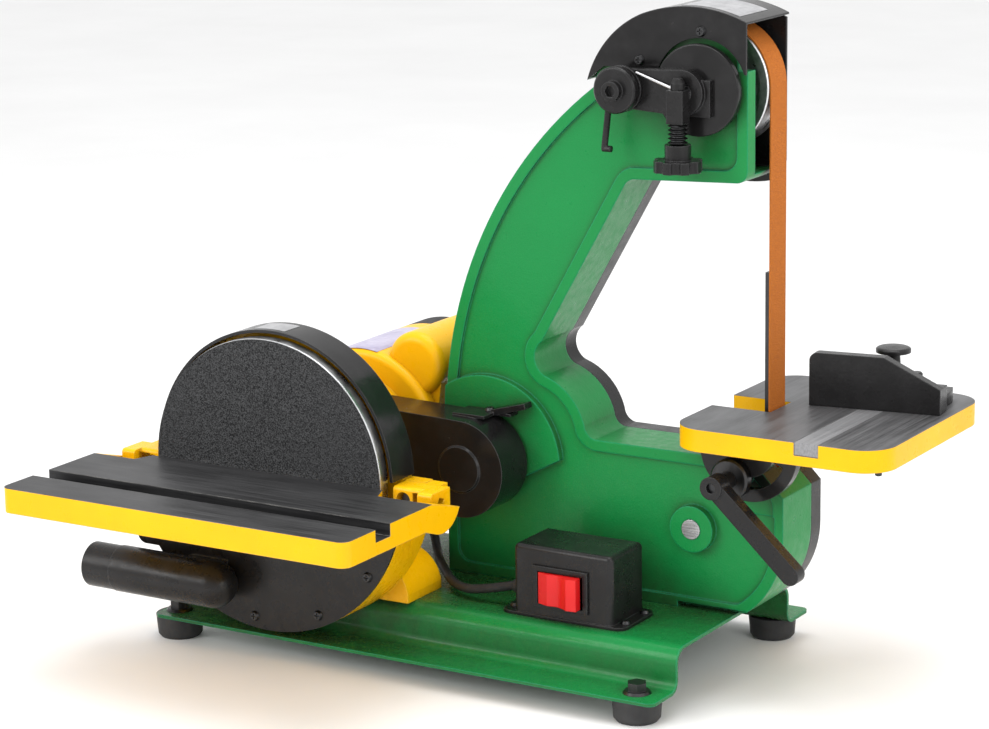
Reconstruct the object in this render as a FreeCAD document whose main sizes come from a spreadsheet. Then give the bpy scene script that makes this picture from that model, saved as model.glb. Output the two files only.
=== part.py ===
import FreeCAD, Part
import math
import os

import Sketcher
from FreeCAD import Placement, Rotation, Vector

# Bench belt and disc sander, in millimetres.
# +X runs along the machine towards the belt table, +Y runs away from the operator, +Z is up.
# The origin lies on the bench under the middle of the machine.

DOC = FreeCAD.newDocument("BeltDiscSander")
SHEET = DOC.addObject("Spreadsheet::Sheet", "Sizes")

DIMENSIONS = {
    # base plate: a folded sheet with a lip in front and behind
    "base_left": -271.3, "base_right": 169.0, "deck_top": 50.5, "sheet": 2.5,
    "front_wall": -33.8, "rear_wall": 148.5, "lip_width": 36.2, "lip_top": 20.0,
    "deck_bend": 12.0, "lip_bend": 7.0, "lip_corner": 6.0,
    # feet and frame bolts
    "foot_tall": 17.5, "foot_top_radius": 18.5, "foot_low_radius": 17.2, "foot_edge": 2.5,
    "foot_left": -260.0, "foot_right": 146.5, "foot_front": -51.5, "foot_rear": 166.2,
    "bolt_radius": 4.0, "bolt_hole": 4.2, "bolt_flange": 10.5, "bolt_flange_thick": 2.0,
    "bolt_hex": 7.5, "bolt_head": 6.0, "bolt_long": 13.0, "nut_pocket": 9.0, "nut_pocket_deep": 7.0,
    # arm casting
    "arm_front": 55.7, "arm_back": 102.7, "arm_wall": 5.0, "arm_face": 6.0, "arm_rim": 8.5,
    "arm_recess": 2.4, "panel_corner": 11.0, "arm_left": -78.0, "arm_bend_z": 170.0, "arm_curve": 333.0,
    "arm_shoulder_x": 54.1, "arm_shoulder_z": 435.6, "arm_crown_x": 98.0, "arm_crown_z": 488.0,
    "arm_crown_left": 75.0, "arm_crown_right": 108.8, "arm_head_right": 179.4,
    "arm_head_top": 486.0, "arm_head_low": 382.0, "head_corner": 9.0, "throat_roof": 373.5,
    "throat_roof_x": 86.0, "throat_top_x": 79.4, "throat_top_z": 365.2, "throat_low_x": 7.6,
    "throat_low_z": 241.0, "throat_curve_x": 9.6, "throat_curve_z": 214.6, "throat_low_curve": 15.5,
    "throat_bulge_x": 43.6, "throat_bulge_z": 180.0, "throat_bulge": 50.0,
    "throat_floor": 170.0, "throat_floor_x": 53.0, "throat_fillet": 11.0,
    "bevel_x": 184.0, "bevel_z": 145.0, "arm_right": 209.0, "arm_right_z": 113.0,
    "arm_toe_x": 174.4, "arm_toe_curve": 73.7,
    # belt wheels, the abrasive belt and its platen
    "wheel_x": 135.7, "upper_z": 438.5, "lower_z": 113.0, "drive_x": -40.0, "drive_z": 146.0,
    "wheel_radius": 47.0, "drive_radius": 28.0, "wheel_near": 81.8, "wheel_wide": 27.2,
    "wheel_hub": 21.0, "wheel_web": 7.0, "wheel_rim": 6.5, "belt_gap": 0.3, "belt_thick": 1.0,
    "belt_near": 83.6, "belt_wide": 25.4, "platen_top": 304.5, "platen_low": 178.0,
    "platen_thick": 3.0, "platen_wide": 24.0, "bracket_thick": 4.8, "bracket_wide": 21.0,
    # bearings and shafts
    "bearing_outer": 17.5, "bearing_bore": 7.5, "bearing_wide": 11.0, "running_gap": 0.05,
    "race_inner": 10.4, "race_outer": 14.6, "race_deep": 1.0,
    # head: hub plate, tension arm, tracking screw
    "pivot_x": 87.5, "pivot_z": 439.0, "hub_plate_x": 143.5, "hub_plate_z": 439.8,
    "hub_plate_radius": 33.2, "hub_plate_front": 46.0, "hub_plate_back": 51.8,
    "tension_front": 38.0, "tension_end": 14.0, "hub_boss": 16.5, "spool_radius": 17.0,
    "tracking_y": 32.5, "star_radius": 17.5, "star_low": 383.0, "star_tall": 8.5,
    "knob_neck": 9.5, "knob_neck_tall": 11.0, "track_spring_tall": 15.0, "track_block_low": 417.5,
    "track_block_top": 441.5, "track_screw": 3.0, "lever_rod": 2.4,
    # top guard
    "guard_front": 52.7, "guard_back": 121.0, "guard_sheet": 1.5, "guard_left": 50.5,
    "guard_left_z": 441.0, "guard_crown_x": 96.0, "guard_crown_z": 491.6, "guard_crown_left": 78.0,
    "guard_crown_right": 112.3, "guard_right": 179.5, "guard_right_z": 489.2, "guard_low": 452.0,
    "guard_cutout": 36.6,
    # rear cover
    "cover_front": 102.9, "cover_back": 118.9, "cover_sheet": 1.8,
    # disc, its housing, guard ring and lower cover
    "disc_x": -157.1, "disc_z": 149.4, "disc_radius": 101.6, "disc_front": -72.0,
    "disc_thick": 10.0, "disc_web": 5.0, "grit_radius": 101.2, "grit_thick": 0.8,
    "ring_radius": 106.8, "ring_wall": 2.4, "ring_front": -63.6, "housing_back_face": -34.0,
    "housing_front_face": -46.0, "housing_radius": 123.0, "housing_wall": 4.5,
    "band_front": -74.5, "band_top": 121.0, "dust_front": -77.1, "dust_top": 119.0,
    "dust_sheet": 2.5, "ledge_left": -278.0, "ledge_low": 79.0, "ledge_right": -246.0,
    "port_y": -95.3, "port_z": 62.4, "port_radius": 18.0, "port_wall": 2.2, "port_left": -306.5,
    "port_round_x": -193.0, "spigot_radius": 17.4, "spigot_long": 26.0,
    "pedestal_back": 12.0, "pedestal_reach": 99.2, "pedestal_step": 6.5,
    "pedestal_knee_x": 81.0, "pedestal_knee_z": 80.0, "pedestal_waist_x": 60.0,
    "pedestal_waist_z": 96.0, "pedestal_knee_curve": 30.0, "bearing_boss": 50.0,
    # belt drive and its guard
    "drive_guard_radius": 37.5, "drive_guard_front": 12.0, "drive_guard_back": 49.0,
    "pulley_near": 22.0, "pulley_wide": 18.0, "motor_pulley": 27.0, "driven_pulley": 29.2,
    "vee_deep": 7.0, "vee_belt_wide": 10.0, "vee_belt_thick": 6.0, "drive_boss": 64.0,
    "drive_boss_front": 52.2,
    # motor
    "motor_radius": 68.0, "motor_front": 57.0, "motor_rear": 158.0, "motor_end": 202.0,
    "motor_wall": 4.0, "motor_flange": 48.0, "stator_radius": 61.5, "stator_bore": 39.5,
    "rotor_radius": 38.8, "stack_front": 80.0, "stack_back": 144.0, "fan_radius": 52.0,
    "capacitor_x": -112.0, "capacitor_z": 208.0, "capacitor_radius": 25.5,
    "capacitor_front": 62.0, "capacitor_back": 158.0, "stay_radius": 31.8,
    # switch box
    "box_left": 24.0, "box_right": 107.0, "box_front": -17.0, "box_back": 32.0, "box_top": 105.0,
    "box_wall": 2.5, "box_foot_left": 12.7, "box_foot_right": 117.0, "bezel_left": 41.0,
    "bezel_right": 87.5, "bezel_low": 59.0, "bezel_top": 91.0, "bezel_proud": 2.0,
    "rocker_left": 46.5, "rocker_right": 81.6, "rocker_low": 62.5, "rocker_top": 86.5,
    # motor cable
    "cable_radius": 3.5, "gland_radius": 6.5, "gland_long": 9.0, "gland_out": 49.3, "gland_down": 59.3,
    "gland_inset": 7.0, "box_gland_y": 0.0, "box_gland_up": 16.0,
    # belt table, its trunnion and clamp
    "table_left": 138.6, "table_right": 306.5, "table_near": 10.3, "table_far": 195.5,
    "table_top": 201.7, "table_thick": 16.7, "table_corner": 25.0, "notch_near": 80.0,
    "notch_far": 115.2, "notch_right": 186.5, "mitre_left": 239.1, "mitre_wide": 18.8,
    "mitre_deep": 9.5, "tilt_x": 188.4, "tilt_z": 183.0, "trunnion_radius": 39.0,
    "trunnion_front": 40.0, "trunnion_thick": 8.0, "arc_slot_inner": 20.4, "arc_slot_outer": 29.6,
    "arc_slot_start": 229.0, "arc_slot_end": 340.0, "clamp_radius": 25.0, "clamp_angle": 241.5,
    "clamp_washer": 15.0, "lever_near": 4.0, "lever_far": 18.0, "lever_reach": 84.0,
    "lever_angle": 42.6, "lever_hub": 8.5, "lever_tip": 7.0,
    # mitre gauge
    "bar_wide": 18.6, "bar_thick": 9.2, "head_turn": 8.5, "head_pivot_y": 158.0,
    "head_face_y": 119.5, "head_left": 195.7, "head_right": 294.5, "head_slope_x": 252.0,
    "head_tall": 40.0, "head_low_tall": 19.0, "head_thick": 9.0, "protractor": 44.0,
    "mitre_knob": 13.0,
    # disc table and its trunnions
    "disc_table_left": -306.5, "disc_table_right": 0.6, "disc_table_near": -202.0,
    "disc_table_far": -90.2, "disc_table_edge": -74.8, "disc_table_top": 149.6,
    "disc_table_thick": 19.0, "disc_table_corner": 8.0, "edge_left": -262.0, "edge_right": -52.0,
    "disc_slot_near": -163.9, "disc_slot_wide": 18.8, "disc_slot_deep": 9.5,
    "ear_thick": 11.4, "ear_radius": 25.5, "ear_slope": 25.0, "disc_tilt_y": -76.0, "stud_ring": 19.0,
    "stud_angle": 72.0, "stud_radius": 3.0, "lock_head": 5.4, "bracket_plate": 12.0,
    "bracket_left": 20.0, "bracket_right": 26.0, "bracket_bolt_in": 8.7,
}


class Size:
    """A number with the spreadsheet formula that it comes from."""

    def __init__(self, value, formula):
        self.value = value
        self.formula = formula

    def joined(self, other, sign, value):
        return Size(value, "(%s %s %s)" % (self.formula, sign, other.formula))

    def __add__(self, other):
        other = sized(other)
        return self.joined(other, "+", self.value + other.value)

    def __sub__(self, other):
        other = sized(other)
        return self.joined(other, "-", self.value - other.value)

    def __mul__(self, other):
        other = sized(other)
        return self.joined(other, "*", self.value * other.value)

    def __truediv__(self, other):
        other = sized(other)
        return self.joined(other, "/", self.value / other.value)

    def __radd__(self, other):
        return sized(other) + self

    def __rsub__(self, other):
        return sized(other) - self

    def __rmul__(self, other):
        return sized(other) * self

    def __neg__(self):
        return sized(0) - self


def sized(number):
    """Any number as a Size."""
    if isinstance(number, Size):
        return number
    return Size(float(number), repr(float(number)))


def cosine(angle):
    angle = sized(angle)
    return Size(math.cos(math.radians(angle.value)), "cos(%s)" % angle.formula)


def sine(angle):
    angle = sized(angle)
    return Size(math.sin(math.radians(angle.value)), "sin(%s)" % angle.formula)


class Names:
    """The sheet's cells, as attributes."""


D = Names()


def fill_sheet():
    for row, (alias, number) in enumerate(DIMENSIONS.items(), start=1):
        SHEET.set("A%d" % row, alias)
        SHEET.set("B%d" % row, str(number))
        SHEET.setAlias("B%d" % row, alias)
        setattr(D, alias, Size(float(number), "Sizes." + alias))
    DOC.recompute()


PARTS = []
UP = Rotation()
BACK = Rotation(Vector(0, 0, 1), Vector(0, 1, 0))
FRONT = Rotation(Vector(0, 0, 1), Vector(0, -1, 0))
RIGHT = Rotation(Vector(0, 0, 1), Vector(1, 0, 0))
LEFT = Rotation(Vector(0, 0, 1), Vector(-1, 0, 0))
DOWN = Rotation(Vector(0, 0, 1), Vector(0, 0, -1))
VIEWS = {
    "front": (Rotation(Vector(1, 0, 0), 90), Vector(0, 1, 0)),
    "side": (Rotation(Vector(1, 1, 1), 120), Vector(1, 0, 0)),
    "plan": (Rotation(), Vector(0, 0, 1)),
}


def keep(thing, label):
    """Mark an object as a finished sub-part with its own name."""
    thing.Label = label
    PARTS.append(thing)
    return thing


def bind(thing, path, size):
    """Tie a property to the sheet."""
    size = sized(size)
    if "." not in path and "[" not in path:
        setattr(thing, path, size.value)
    thing.setExpression(path, size.formula)


def place(thing, spot, turn=UP):
    """Put an object at a spot given by three sizes."""
    values = [sized(value) for value in spot]
    thing.Placement = Placement(Vector(*[value.value for value in values]), turn)
    for axis, value in zip("xyz", values):
        bind(thing, "Placement.Base." + axis, value)
    return thing


def block(name, low, high):
    """A box from its lowest to its highest corner."""
    box = DOC.addObject("Part::Box", name)
    for side, near, far in zip(("Length", "Width", "Height"), low, high):
        bind(box, side, sized(far) - near)
    return place(box, low)


def rod(name, radius, length, spot, turn=UP):
    """A cylinder that starts at a spot and runs the way it is turned."""
    cylinder = DOC.addObject("Part::Cylinder", name)
    bind(cylinder, "Radius", radius)
    bind(cylinder, "Height", length)
    return place(cylinder, spot, turn)


def cone(name, start_radius, end_radius, length, spot, turn=UP):
    shape = DOC.addObject("Part::Cone", name)
    bind(shape, "Radius1", start_radius)
    bind(shape, "Radius2", end_radius)
    bind(shape, "Height", length)
    return place(shape, spot, turn)


def fuse(name, *things):
    union = DOC.addObject("Part::MultiFuse", name)
    union.Shapes = list(things)
    return union


def cut(name, base, *tools):
    difference = DOC.addObject("Part::Cut", name)
    difference.Base = base
    difference.Tool = tools[0] if len(tools) == 1 else fuse(name + "_tools", *tools)
    return difference


def common(name, *things):
    overlap = DOC.addObject("Part::MultiCommon", name)
    overlap.Shapes = list(things)
    return overlap


def group(name, *things):
    """Several separate solids as one sub-part."""
    compound = DOC.addObject("Part::Compound", name)
    compound.Links = list(things)
    return compound


def copies(name, master, spots, turn=UP):
    """The same fastener at several spots."""
    links = []
    for number, spot in enumerate(spots):
        link = DOC.addObject("App::Link", "%s_%d" % (name, number))
        link.LinkedObject = master
        links.append(place(link, spot, turn))
    return links


def arc_through(start, end, radius):
    """An arc between two points; a positive radius bulges to the right of the way travelled."""
    middle = (start + end) * 0.5
    half = (end - start) * 0.5
    right = Vector(half.y, -half.x, 0).normalize()
    sagitta = abs(radius) - math.sqrt(max(radius * radius - half.Length ** 2, 0))
    if radius > 0:
        return Part.Arc(start, middle + right * sagitta, end)
    return Part.Arc(end, middle - right * sagitta, start)


def draw(sketch, corners, arcs=None):
    """Draw a closed outline; arcs maps a corner's number to the radius of the edge after it."""
    arcs = arcs or {}
    points = [(sized(across), sized(along)) for across, along in corners]
    flat = [Vector(across.value, along.value, 0) for across, along in points]
    first = sketch.GeometryCount
    count = len(points)
    for number in range(count):
        start = flat[number]
        end = flat[(number + 1) % count]
        if number in arcs:
            sketch.addGeometry(arc_through(start, end, sized(arcs[number]).value))
        else:
            sketch.addGeometry(Part.LineSegment(start, end))
    for number in range(count):
        pin_edge(sketch, first + number, points[number], points[(number + 1) % count], number in arcs)
        if number in arcs:
            radius = sized(arcs[number])
            size = Size(abs(radius.value), "abs(%s)" % radius.formula)
            hold(sketch, Sketcher.Constraint("Radius", first + number, size.value), size)


def pin_edge(sketch, edge, start, end, is_arc):
    """Fix an edge's ends; an arc's own start may be its far end."""
    shape = sketch.Geometry[edge]
    ends = {1: shape.StartPoint, 2: shape.EndPoint}
    for point in (start, end):
        spot = Vector(point[0].value, point[1].value, 0)
        which = min(ends, key=lambda number: (ends[number] - spot).Length)
        if point is end and not is_arc:
            which = 2
        for kind, size in zip(("DistanceX", "DistanceY"), point):
            hold(sketch, Sketcher.Constraint(kind, -1, 1, edge, which, size.value), size)


def hold(sketch, constraint, size):
    """Add a constraint and tie it to the sheet."""
    number = sketch.addConstraint(constraint)
    sketch.setExpression("Constraints[%d]" % number, size.formula)


def outline(name, view, corners, arcs=None):
    """A closed outline in the front (x, z), side (y, z) or plan (x, y) view."""
    sketch = DOC.addObject("Sketcher::SketchObject", name)
    sketch.Placement = Placement(Vector(), VIEWS[view][0])
    draw(sketch, corners, arcs)
    return sketch


def slab(name, profile, view, start, end):
    """A profile drawn out from start to end along the view's own axis."""
    solid = DOC.addObject("Part::Extrusion", name)
    solid.Base = profile
    solid.DirMode = "Custom"
    solid.Dir = VIEWS[view][1]
    solid.Solid = True
    bind(solid, "LengthFwd", end)
    bind(solid, "LengthRev", -sized(start))
    return solid


def grown(name, profile, distance):
    """The same profile, larger by a distance, or smaller by a negative one."""
    offset = DOC.addObject("Part::Offset2D", name)
    offset.Source = profile
    bind(offset, "Value", distance)
    return offset


def turned(name, spot, turn, profile, arcs=None):
    """A body turned on a lathe: pairs of a radius and a distance along the axis."""
    body = DOC.addObject("PartDesign::Body", name)
    planes = {feature.Role: feature for feature in body.Origin.OriginFeatures}
    sketch = body.newObject("Sketcher::SketchObject", name + "_profile")
    sketch.AttachmentSupport = [(planes["XZ_Plane"], "")]
    sketch.MapMode = "FlatFace"
    draw(sketch, profile, arcs)
    revolution = body.newObject("PartDesign::Revolution", name + "_turn")
    revolution.Profile = sketch
    revolution.ReferenceAxis = (sketch, ["V_Axis"])
    revolution.Angle = 360
    body.Tip = revolution
    return place(body, spot, turn)


def padded(name, spot, turn, thickness, corners, arcs=None):
    """A body padded from an outline drawn on its own XY plane."""
    body = DOC.addObject("PartDesign::Body", name)
    planes = {feature.Role: feature for feature in body.Origin.OriginFeatures}
    sketch = body.newObject("Sketcher::SketchObject", name + "_profile")
    sketch.AttachmentSupport = [(planes["XY_Plane"], "")]
    sketch.MapMode = "FlatFace"
    draw(sketch, corners, arcs)
    pad = body.newObject("PartDesign::Pad", name + "_pad")
    pad.Profile = sketch
    bind(pad, "Length", thickness)
    body.Tip = pad
    return place(body, spot, turn)


def rounded(body, radius, wanted):
    """Round the edges of a body's last feature that a test picks out, in the body's own frame."""
    base = body.Tip
    DOC.recompute()
    picked = [
        "Edge%d" % number
        for number, edge in enumerate(base.Shape.Edges, start=1)
        if wanted(edge.BoundBox.Center, edge.BoundBox)
    ]
    fillet = body.newObject("PartDesign::Fillet", base.Name + "_round")
    fillet.Base = (base, picked)
    bind(fillet, "Radius", radius)
    body.Tip = fillet
    return body


def softened(name, base, radius, wanted):
    """Round the edges of any solid that a test picks out."""
    DOC.recompute()
    fillet = DOC.addObject("Part::Fillet", name)
    fillet.Base = base
    fillet.Edges = [
        (number, sized(radius).value, sized(radius).value)
        for number, edge in enumerate(base.Shape.Edges, start=1)
        if wanted(edge.BoundBox.Center, edge.BoundBox)
    ]
    return fillet


def is_upright(box, tolerance=0.01):
    """Whether an edge's box is only tall."""
    return box.XLength < tolerance and box.YLength < tolerance and box.ZLength > tolerance


def on_ring(x, z, radius, angle):
    """A point on a circle in the front view."""
    return x + radius * cosine(angle), z + radius * sine(angle)


# ---------------------------------------------------------------- fasteners

def flange_bolt(name, length):
    """Hexagon flange bolt, head up, with its shank running down from the flange's underside."""
    flange = cone(name + "_flange", D.bolt_flange, D.bolt_flange - 1.5, D.bolt_flange_thick, (0, 0, 0))
    head = DOC.addObject("Part::Prism", name + "_hex")
    head.Polygon = 6
    bind(head, "Circumradius", D.bolt_hex)
    bind(head, "Height", D.bolt_head + D.bolt_flange_thick)
    shank = rod(name + "_shank", D.bolt_radius, sized(length), (0, 0, -sized(length)))
    return fuse(name, flange, head, shank)


def pan_screw(name, length):
    """Cross-slotted pan head screw, head up."""
    head = cone(name + "_head", 4.0, 3.0, 2.2, (0, 0, 0))
    shank = rod(name + "_shank", 1.9, length, (0, 0, -length))
    slots = [
        block(name + "_slot_x", (-2.2, -0.45, 1.0), (2.2, 0.45, 2.5)),
        block(name + "_slot_y", (-0.45, -2.2, 1.0), (0.45, 2.2, 2.5)),
    ]
    return cut(name, fuse(name + "_blank", head, shank), *slots)


# ---------------------------------------------------------------- base

def foot_spots():
    return [(x, y) for x in (D.foot_left, D.foot_right) for y in (D.foot_front, D.foot_rear)]


def arm_bolt_spots():
    return [(x, D.arm_front + 26) for x in (D.arm_left + 22, D.wheel_x)]


def make_base_plate():
    wall_front, wall_rear = D.front_wall, D.rear_wall
    deck, low, bend, lip = D.deck_top, D.lip_top, D.deck_bend, D.lip_bend
    edge_front = wall_front - D.lip_width
    edge_rear = wall_rear + D.lip_width
    outer = [
        (edge_front, low), (wall_front - lip, low), (wall_front, low + lip),
        (wall_front, deck - bend), (wall_front + bend, deck), (wall_rear - bend, deck),
        (wall_rear, deck - bend), (wall_rear, low + lip), (wall_rear + lip, low), (edge_rear, low),
    ]
    skin = D.sheet
    inner = [
        (edge_rear, low - skin), (wall_rear + lip, low - skin), (wall_rear - skin, low + lip),
        (wall_rear - skin, deck - bend), (wall_rear - bend, deck - skin),
        (wall_front + bend, deck - skin), (wall_front + skin, deck - bend),
        (wall_front + skin, low + lip), (wall_front - lip, low - skin), (edge_front, low - skin),
    ]
    arcs = {
        1: lip, 3: -bend, 5: -bend, 7: lip,
        11: -(lip + skin), 13: bend - skin, 15: bend - skin, 17: -(lip + skin),
    }
    turn = VIEWS["side"][0]
    body = padded("base_sheet", (D.base_left, 0, 0), turn, D.base_right - D.base_left, outer + inner, arcs)
    tips = (edge_front.value, edge_rear.value)
    rounded(body, D.lip_corner, lambda middle, box: box.YLength > 1 and box.XLength < 0.01
            and box.ZLength < 0.01 and min(abs(middle.x - tip) for tip in tips) < 0.1)
    holes = [
        rod("lip_hole_%d" % number, D.bolt_hole, 10, (x, y, D.lip_top - 6))
        for number, (x, y) in enumerate(foot_spots())
    ]
    holes += [
        rod("deck_hole_%d" % number, D.bolt_hole, 10, (x, y, D.deck_top - 6))
        for number, (x, y) in enumerate(arm_bolt_spots())
    ]
    holes += [
        rod("box_hole_%d" % number, 1.9, 10, (x, y, D.deck_top - 6))
        for number, (x, y) in enumerate(box_screw_spots())
    ]
    keep(cut("base_plate", body, *holes), "base_plate")


def make_feet():
    feet = []
    for number, (x, y) in enumerate(foot_spots()):
        tag = "foot_%d" % number
        edge = cone(tag + "_edge", D.foot_low_radius - 2, D.foot_low_radius, D.foot_edge, (x, y, 0))
        body = cone(tag + "_body", D.foot_low_radius, D.foot_top_radius,
                    D.foot_tall - D.foot_edge, (x, y, D.foot_edge))
        hole = rod(tag + "_hole", D.bolt_radius + 0.1, D.foot_tall + 2, (x, y, -1))
        pocket = rod(tag + "_pocket", D.nut_pocket, D.nut_pocket_deep + 1, (x, y, -1))
        feet.append(cut(tag, fuse(tag + "_blank", edge, body), hole, pocket))
    keep(group("rubber_feet", *feet), "rubber_feet")


def make_frame_bolts():
    bolt = flange_bolt("frame_bolt", D.bolt_long)
    through = copies("foot_bolt", bolt, [(x, y, D.lip_top) for x, y in foot_spots()])
    under = D.deck_top - D.sheet
    held = copies("arm_bolt", bolt, [(x, y, under) for x, y in arm_bolt_spots()], DOWN)
    keep(group("frame_bolts", *(through + held)), "frame_bolts")


# ---------------------------------------------------------------- arm, rear cover and top guard

def arm_outline():
    """The C-shaped front of the arm, from its bottom left corner and up round the head."""
    corners = [
        (D.arm_left, D.deck_top), (D.arm_left, D.arm_bend_z),
        (D.arm_shoulder_x, D.arm_shoulder_z), (D.arm_crown_x, D.arm_crown_z),
        (D.arm_head_right, D.arm_head_top), (D.arm_head_right, D.arm_head_low),
        (D.arm_head_right - D.head_corner, D.throat_roof), (D.throat_roof_x, D.throat_roof - 3.5),
        (D.throat_top_x, D.throat_top_z), (D.throat_low_x, D.throat_low_z),
        (D.throat_curve_x, D.throat_curve_z), (D.throat_bulge_x, D.throat_bulge_z),
        (D.throat_floor_x, D.throat_floor), (D.bevel_x, D.throat_floor),
        (D.arm_right, D.bevel_z), (D.arm_right, D.arm_right_z), (D.arm_toe_x, D.deck_top),
    ]
    arcs = {
        1: -D.arm_curve, 2: -D.arm_crown_left, 3: -D.arm_crown_right, 5: -D.head_corner,
        7: D.throat_fillet, 9: D.throat_low_curve, 10: -D.throat_bulge, 11: D.throat_fillet,
        15: -D.arm_toe_curve,
    }
    return outline("arm_outline", "front", corners, arcs)


def head_window(name, near, far):
    """Room on the right of the head, where the belt leaves it."""
    return block(name, (D.arm_head_right - 12, near, D.throat_roof + 5.5),
                 (D.arm_head_right + 5, far, D.arm_head_top + 20))


def belt_slot(name, near, far):
    """Room in the top of the arm's foot, where the belt comes down into it."""
    return block(name, (D.bevel_x - 12, near, D.bevel_z - 8), (D.bevel_x + 9, far, D.throat_floor + 5))


def make_arm_casting(profile):
    front, back = D.arm_front, D.arm_back
    shell = slab("arm_shell", profile, "front", front, back)
    hollow = slab("arm_hollow", grown("arm_inside", profile, -D.arm_wall), "front",
                  front + D.arm_face, back + 1)
    shrunk = grown("arm_panel_shrunk", profile, -(D.arm_rim + D.panel_corner))
    recess = slab("arm_panel", grown("arm_panel_edge", shrunk, D.panel_corner), "front",
                  front - 1, front + D.arm_recess)
    below = block("drive_boss_below", (0, 0, 0), (240, 20, 100))
    place(below, (D.drive_x - 35.5, D.drive_boss_front - 5, D.drive_z - 160.7), Rotation(Vector(0, -1, 0), 28))
    raised = common("drive_boss_clipped",
                    rod("drive_boss_disc", D.drive_boss, 8, (D.drive_x, D.drive_boss_front, D.drive_z), BACK),
                    slab("arm_clip", grown("arm_clip_edge", profile, -0.5), "front", front - 10, back))
    raised = cut("drive_boss_upper", raised, below)
    bosses = [
        rod("drive_bearing_boss", 24, 27, (D.drive_x, D.drive_boss_front + 1, D.drive_z), BACK),
        rod("lower_axle_boss", 17.6, 22, (D.wheel_x, front - 4, D.lower_z), BACK),
        rod("tension_boss", 12, 12, (D.pivot_x, front - 3.5, D.pivot_z), BACK),
        rod("clamp_boss", 9, 14, (clamp_spot()[0], front - 7.3, clamp_spot()[1]), BACK),
        block("arm_pad_left", (D.arm_left + 8, front + 12, D.deck_top),
              (D.arm_left + 36, back - 6, D.deck_top + 10)),
        block("arm_pad_right", (D.wheel_x - 14, front + 12, D.deck_top),
              (D.wheel_x + 14, back - 6, D.deck_top + 10)),
    ]
    bosses += [
        rod("cover_post_%d" % number, 5, back - front - 3, (x, front + 3, z), BACK)
        for number, (x, z) in enumerate(cover_screw_spots())
    ]
    holes = [
        rod("drive_shaft_hole", D.bearing_bore + 2, 60, (D.drive_x, front - 8, D.drive_z), BACK),
        rod("drive_bearing_seat", D.bearing_outer, 24.2, (D.drive_x, front + 1, D.drive_z), BACK),
        rod("lower_axle_hole", D.bearing_bore, 40, (D.wheel_x, front - 8, D.lower_z), BACK),
        rod("upper_axle_hole", 20.5, 20, (D.wheel_x, front - 8, D.upper_z), BACK),
        rod("tension_hole", 5.1, 30, (D.pivot_x, front - 8, D.pivot_z), BACK),
        rod("clamp_hole", D.bolt_radius + 0.1, 40, (clamp_spot()[0], front - 12, clamp_spot()[1]), BACK),
        block("relief_under_face", (D.arm_toe_x - 52, front - 5, D.deck_top - 1),
              (D.arm_toe_x + 5, front + 9, D.deck_top + 4.5)),
        block("square_recess", (D.bevel_x, front, D.lower_z + 1), (D.bevel_x + 18, front + 4, D.lower_z + 17)),
        head_window("head_window", front + 12, back + 2),
        block("head_corner_cut", (D.arm_head_right - 7, front - 1, D.guard_low + 2),
              (D.arm_head_right + 5, back + 2, D.arm_head_top + 20)),
        belt_slot("belt_slot", D.belt_near - 5, back + 2),
    ]
    holes += [
        rod("arm_bolt_hole_%d" % number, D.bolt_radius + 0.1, 30, (x, y, D.deck_top - 5))
        for number, (x, y) in enumerate(arm_bolt_spots())
    ]
    holes += [
        rod("cover_screw_hole_%d" % number, 2.0, 12, (x, back - 10, z), BACK)
        for number, (x, z) in enumerate(cover_screw_spots())
    ]
    holes += [
        rod("guard_screw_hole_%d" % number, 1.9, 12, (x, front - 1, z), BACK)
        for number, (x, z) in enumerate(guard_screw_spots())
    ]
    blank = fuse("arm_blank", cut("arm_open", shell, hollow, recess), raised, *bosses)
    keep(cut("arm_casting", blank, *holes), "arm_casting")


def cover_screw_spots():
    """Where the rear cover is screwed to the arm, clear of the belt."""
    return [
        (D.arm_left + 12, D.deck_top + 14), (D.arm_right - 12, D.lower_z - 6),
        (D.throat_top_x - 12, D.throat_top_z + 12), (D.arm_shoulder_x + 8, D.arm_shoulder_z + 14),
        (D.throat_curve_x + 4, D.throat_curve_z - 14),
    ]


def make_rear_cover(profile):
    front, back, skin = D.cover_front, D.cover_back, D.cover_sheet
    pan = slab("cover_pan", profile, "front", front, back)
    inside = slab("cover_inside", grown("cover_inside_edge", profile, -skin), "front", front - 1, back - skin)
    holes = [
        rod("cover_hole_%d" % number, 2.1, 30, (x, front - 5, z), BACK)
        for number, (x, z) in enumerate(cover_screw_spots())
    ]
    bosses = [
        rod("cover_boss_%d" % number, 5, back - skin / 2 - front, (x, front, z), BACK)
        for number, (x, z) in enumerate(cover_screw_spots())
    ]
    window = head_window("cover_window", front - 1, back - skin)
    slot = belt_slot("cover_slot", front - 1, back - 4)
    shell = cut("cover_shell", pan, inside, window, slot)
    roof, lip_right = D.throat_roof, D.arm_head_right - 3
    lip = slab("cover_lip", outline("cover_lip_edge", "front", [
        (D.throat_roof_x + 24, roof + 1), (lip_right, roof + 4), (lip_right, roof - 5)], {2: -90}),
        "front", back - 6, back)
    keep(cut("rear_cover", fuse("cover_blank", shell, lip, *bosses), *holes), "rear_cover")


def guard_outline(name, inset, reach):
    """The top guard's arched outline, inset by a distance; a reach carries it past its open edges."""
    arch = [
        (D.guard_left + inset, D.guard_left_z),
        (D.guard_crown_x + inset * 0.6, D.guard_crown_z - inset * 0.85),
        (D.guard_right, D.guard_right_z - inset),
    ]
    foot = [(D.guard_right + reach, D.guard_low - reach), (D.guard_left + 14, D.guard_low - reach)]
    if reach.value > 0:
        foot = [(D.guard_right + reach, D.guard_right_z - inset)] + foot
        foot.append((D.guard_left + inset, D.guard_left_z - reach))
    arcs = {0: -(D.guard_crown_left - inset), 1: -(D.guard_crown_right - inset)}
    return outline(name, "front", arch + foot, arcs)


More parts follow.
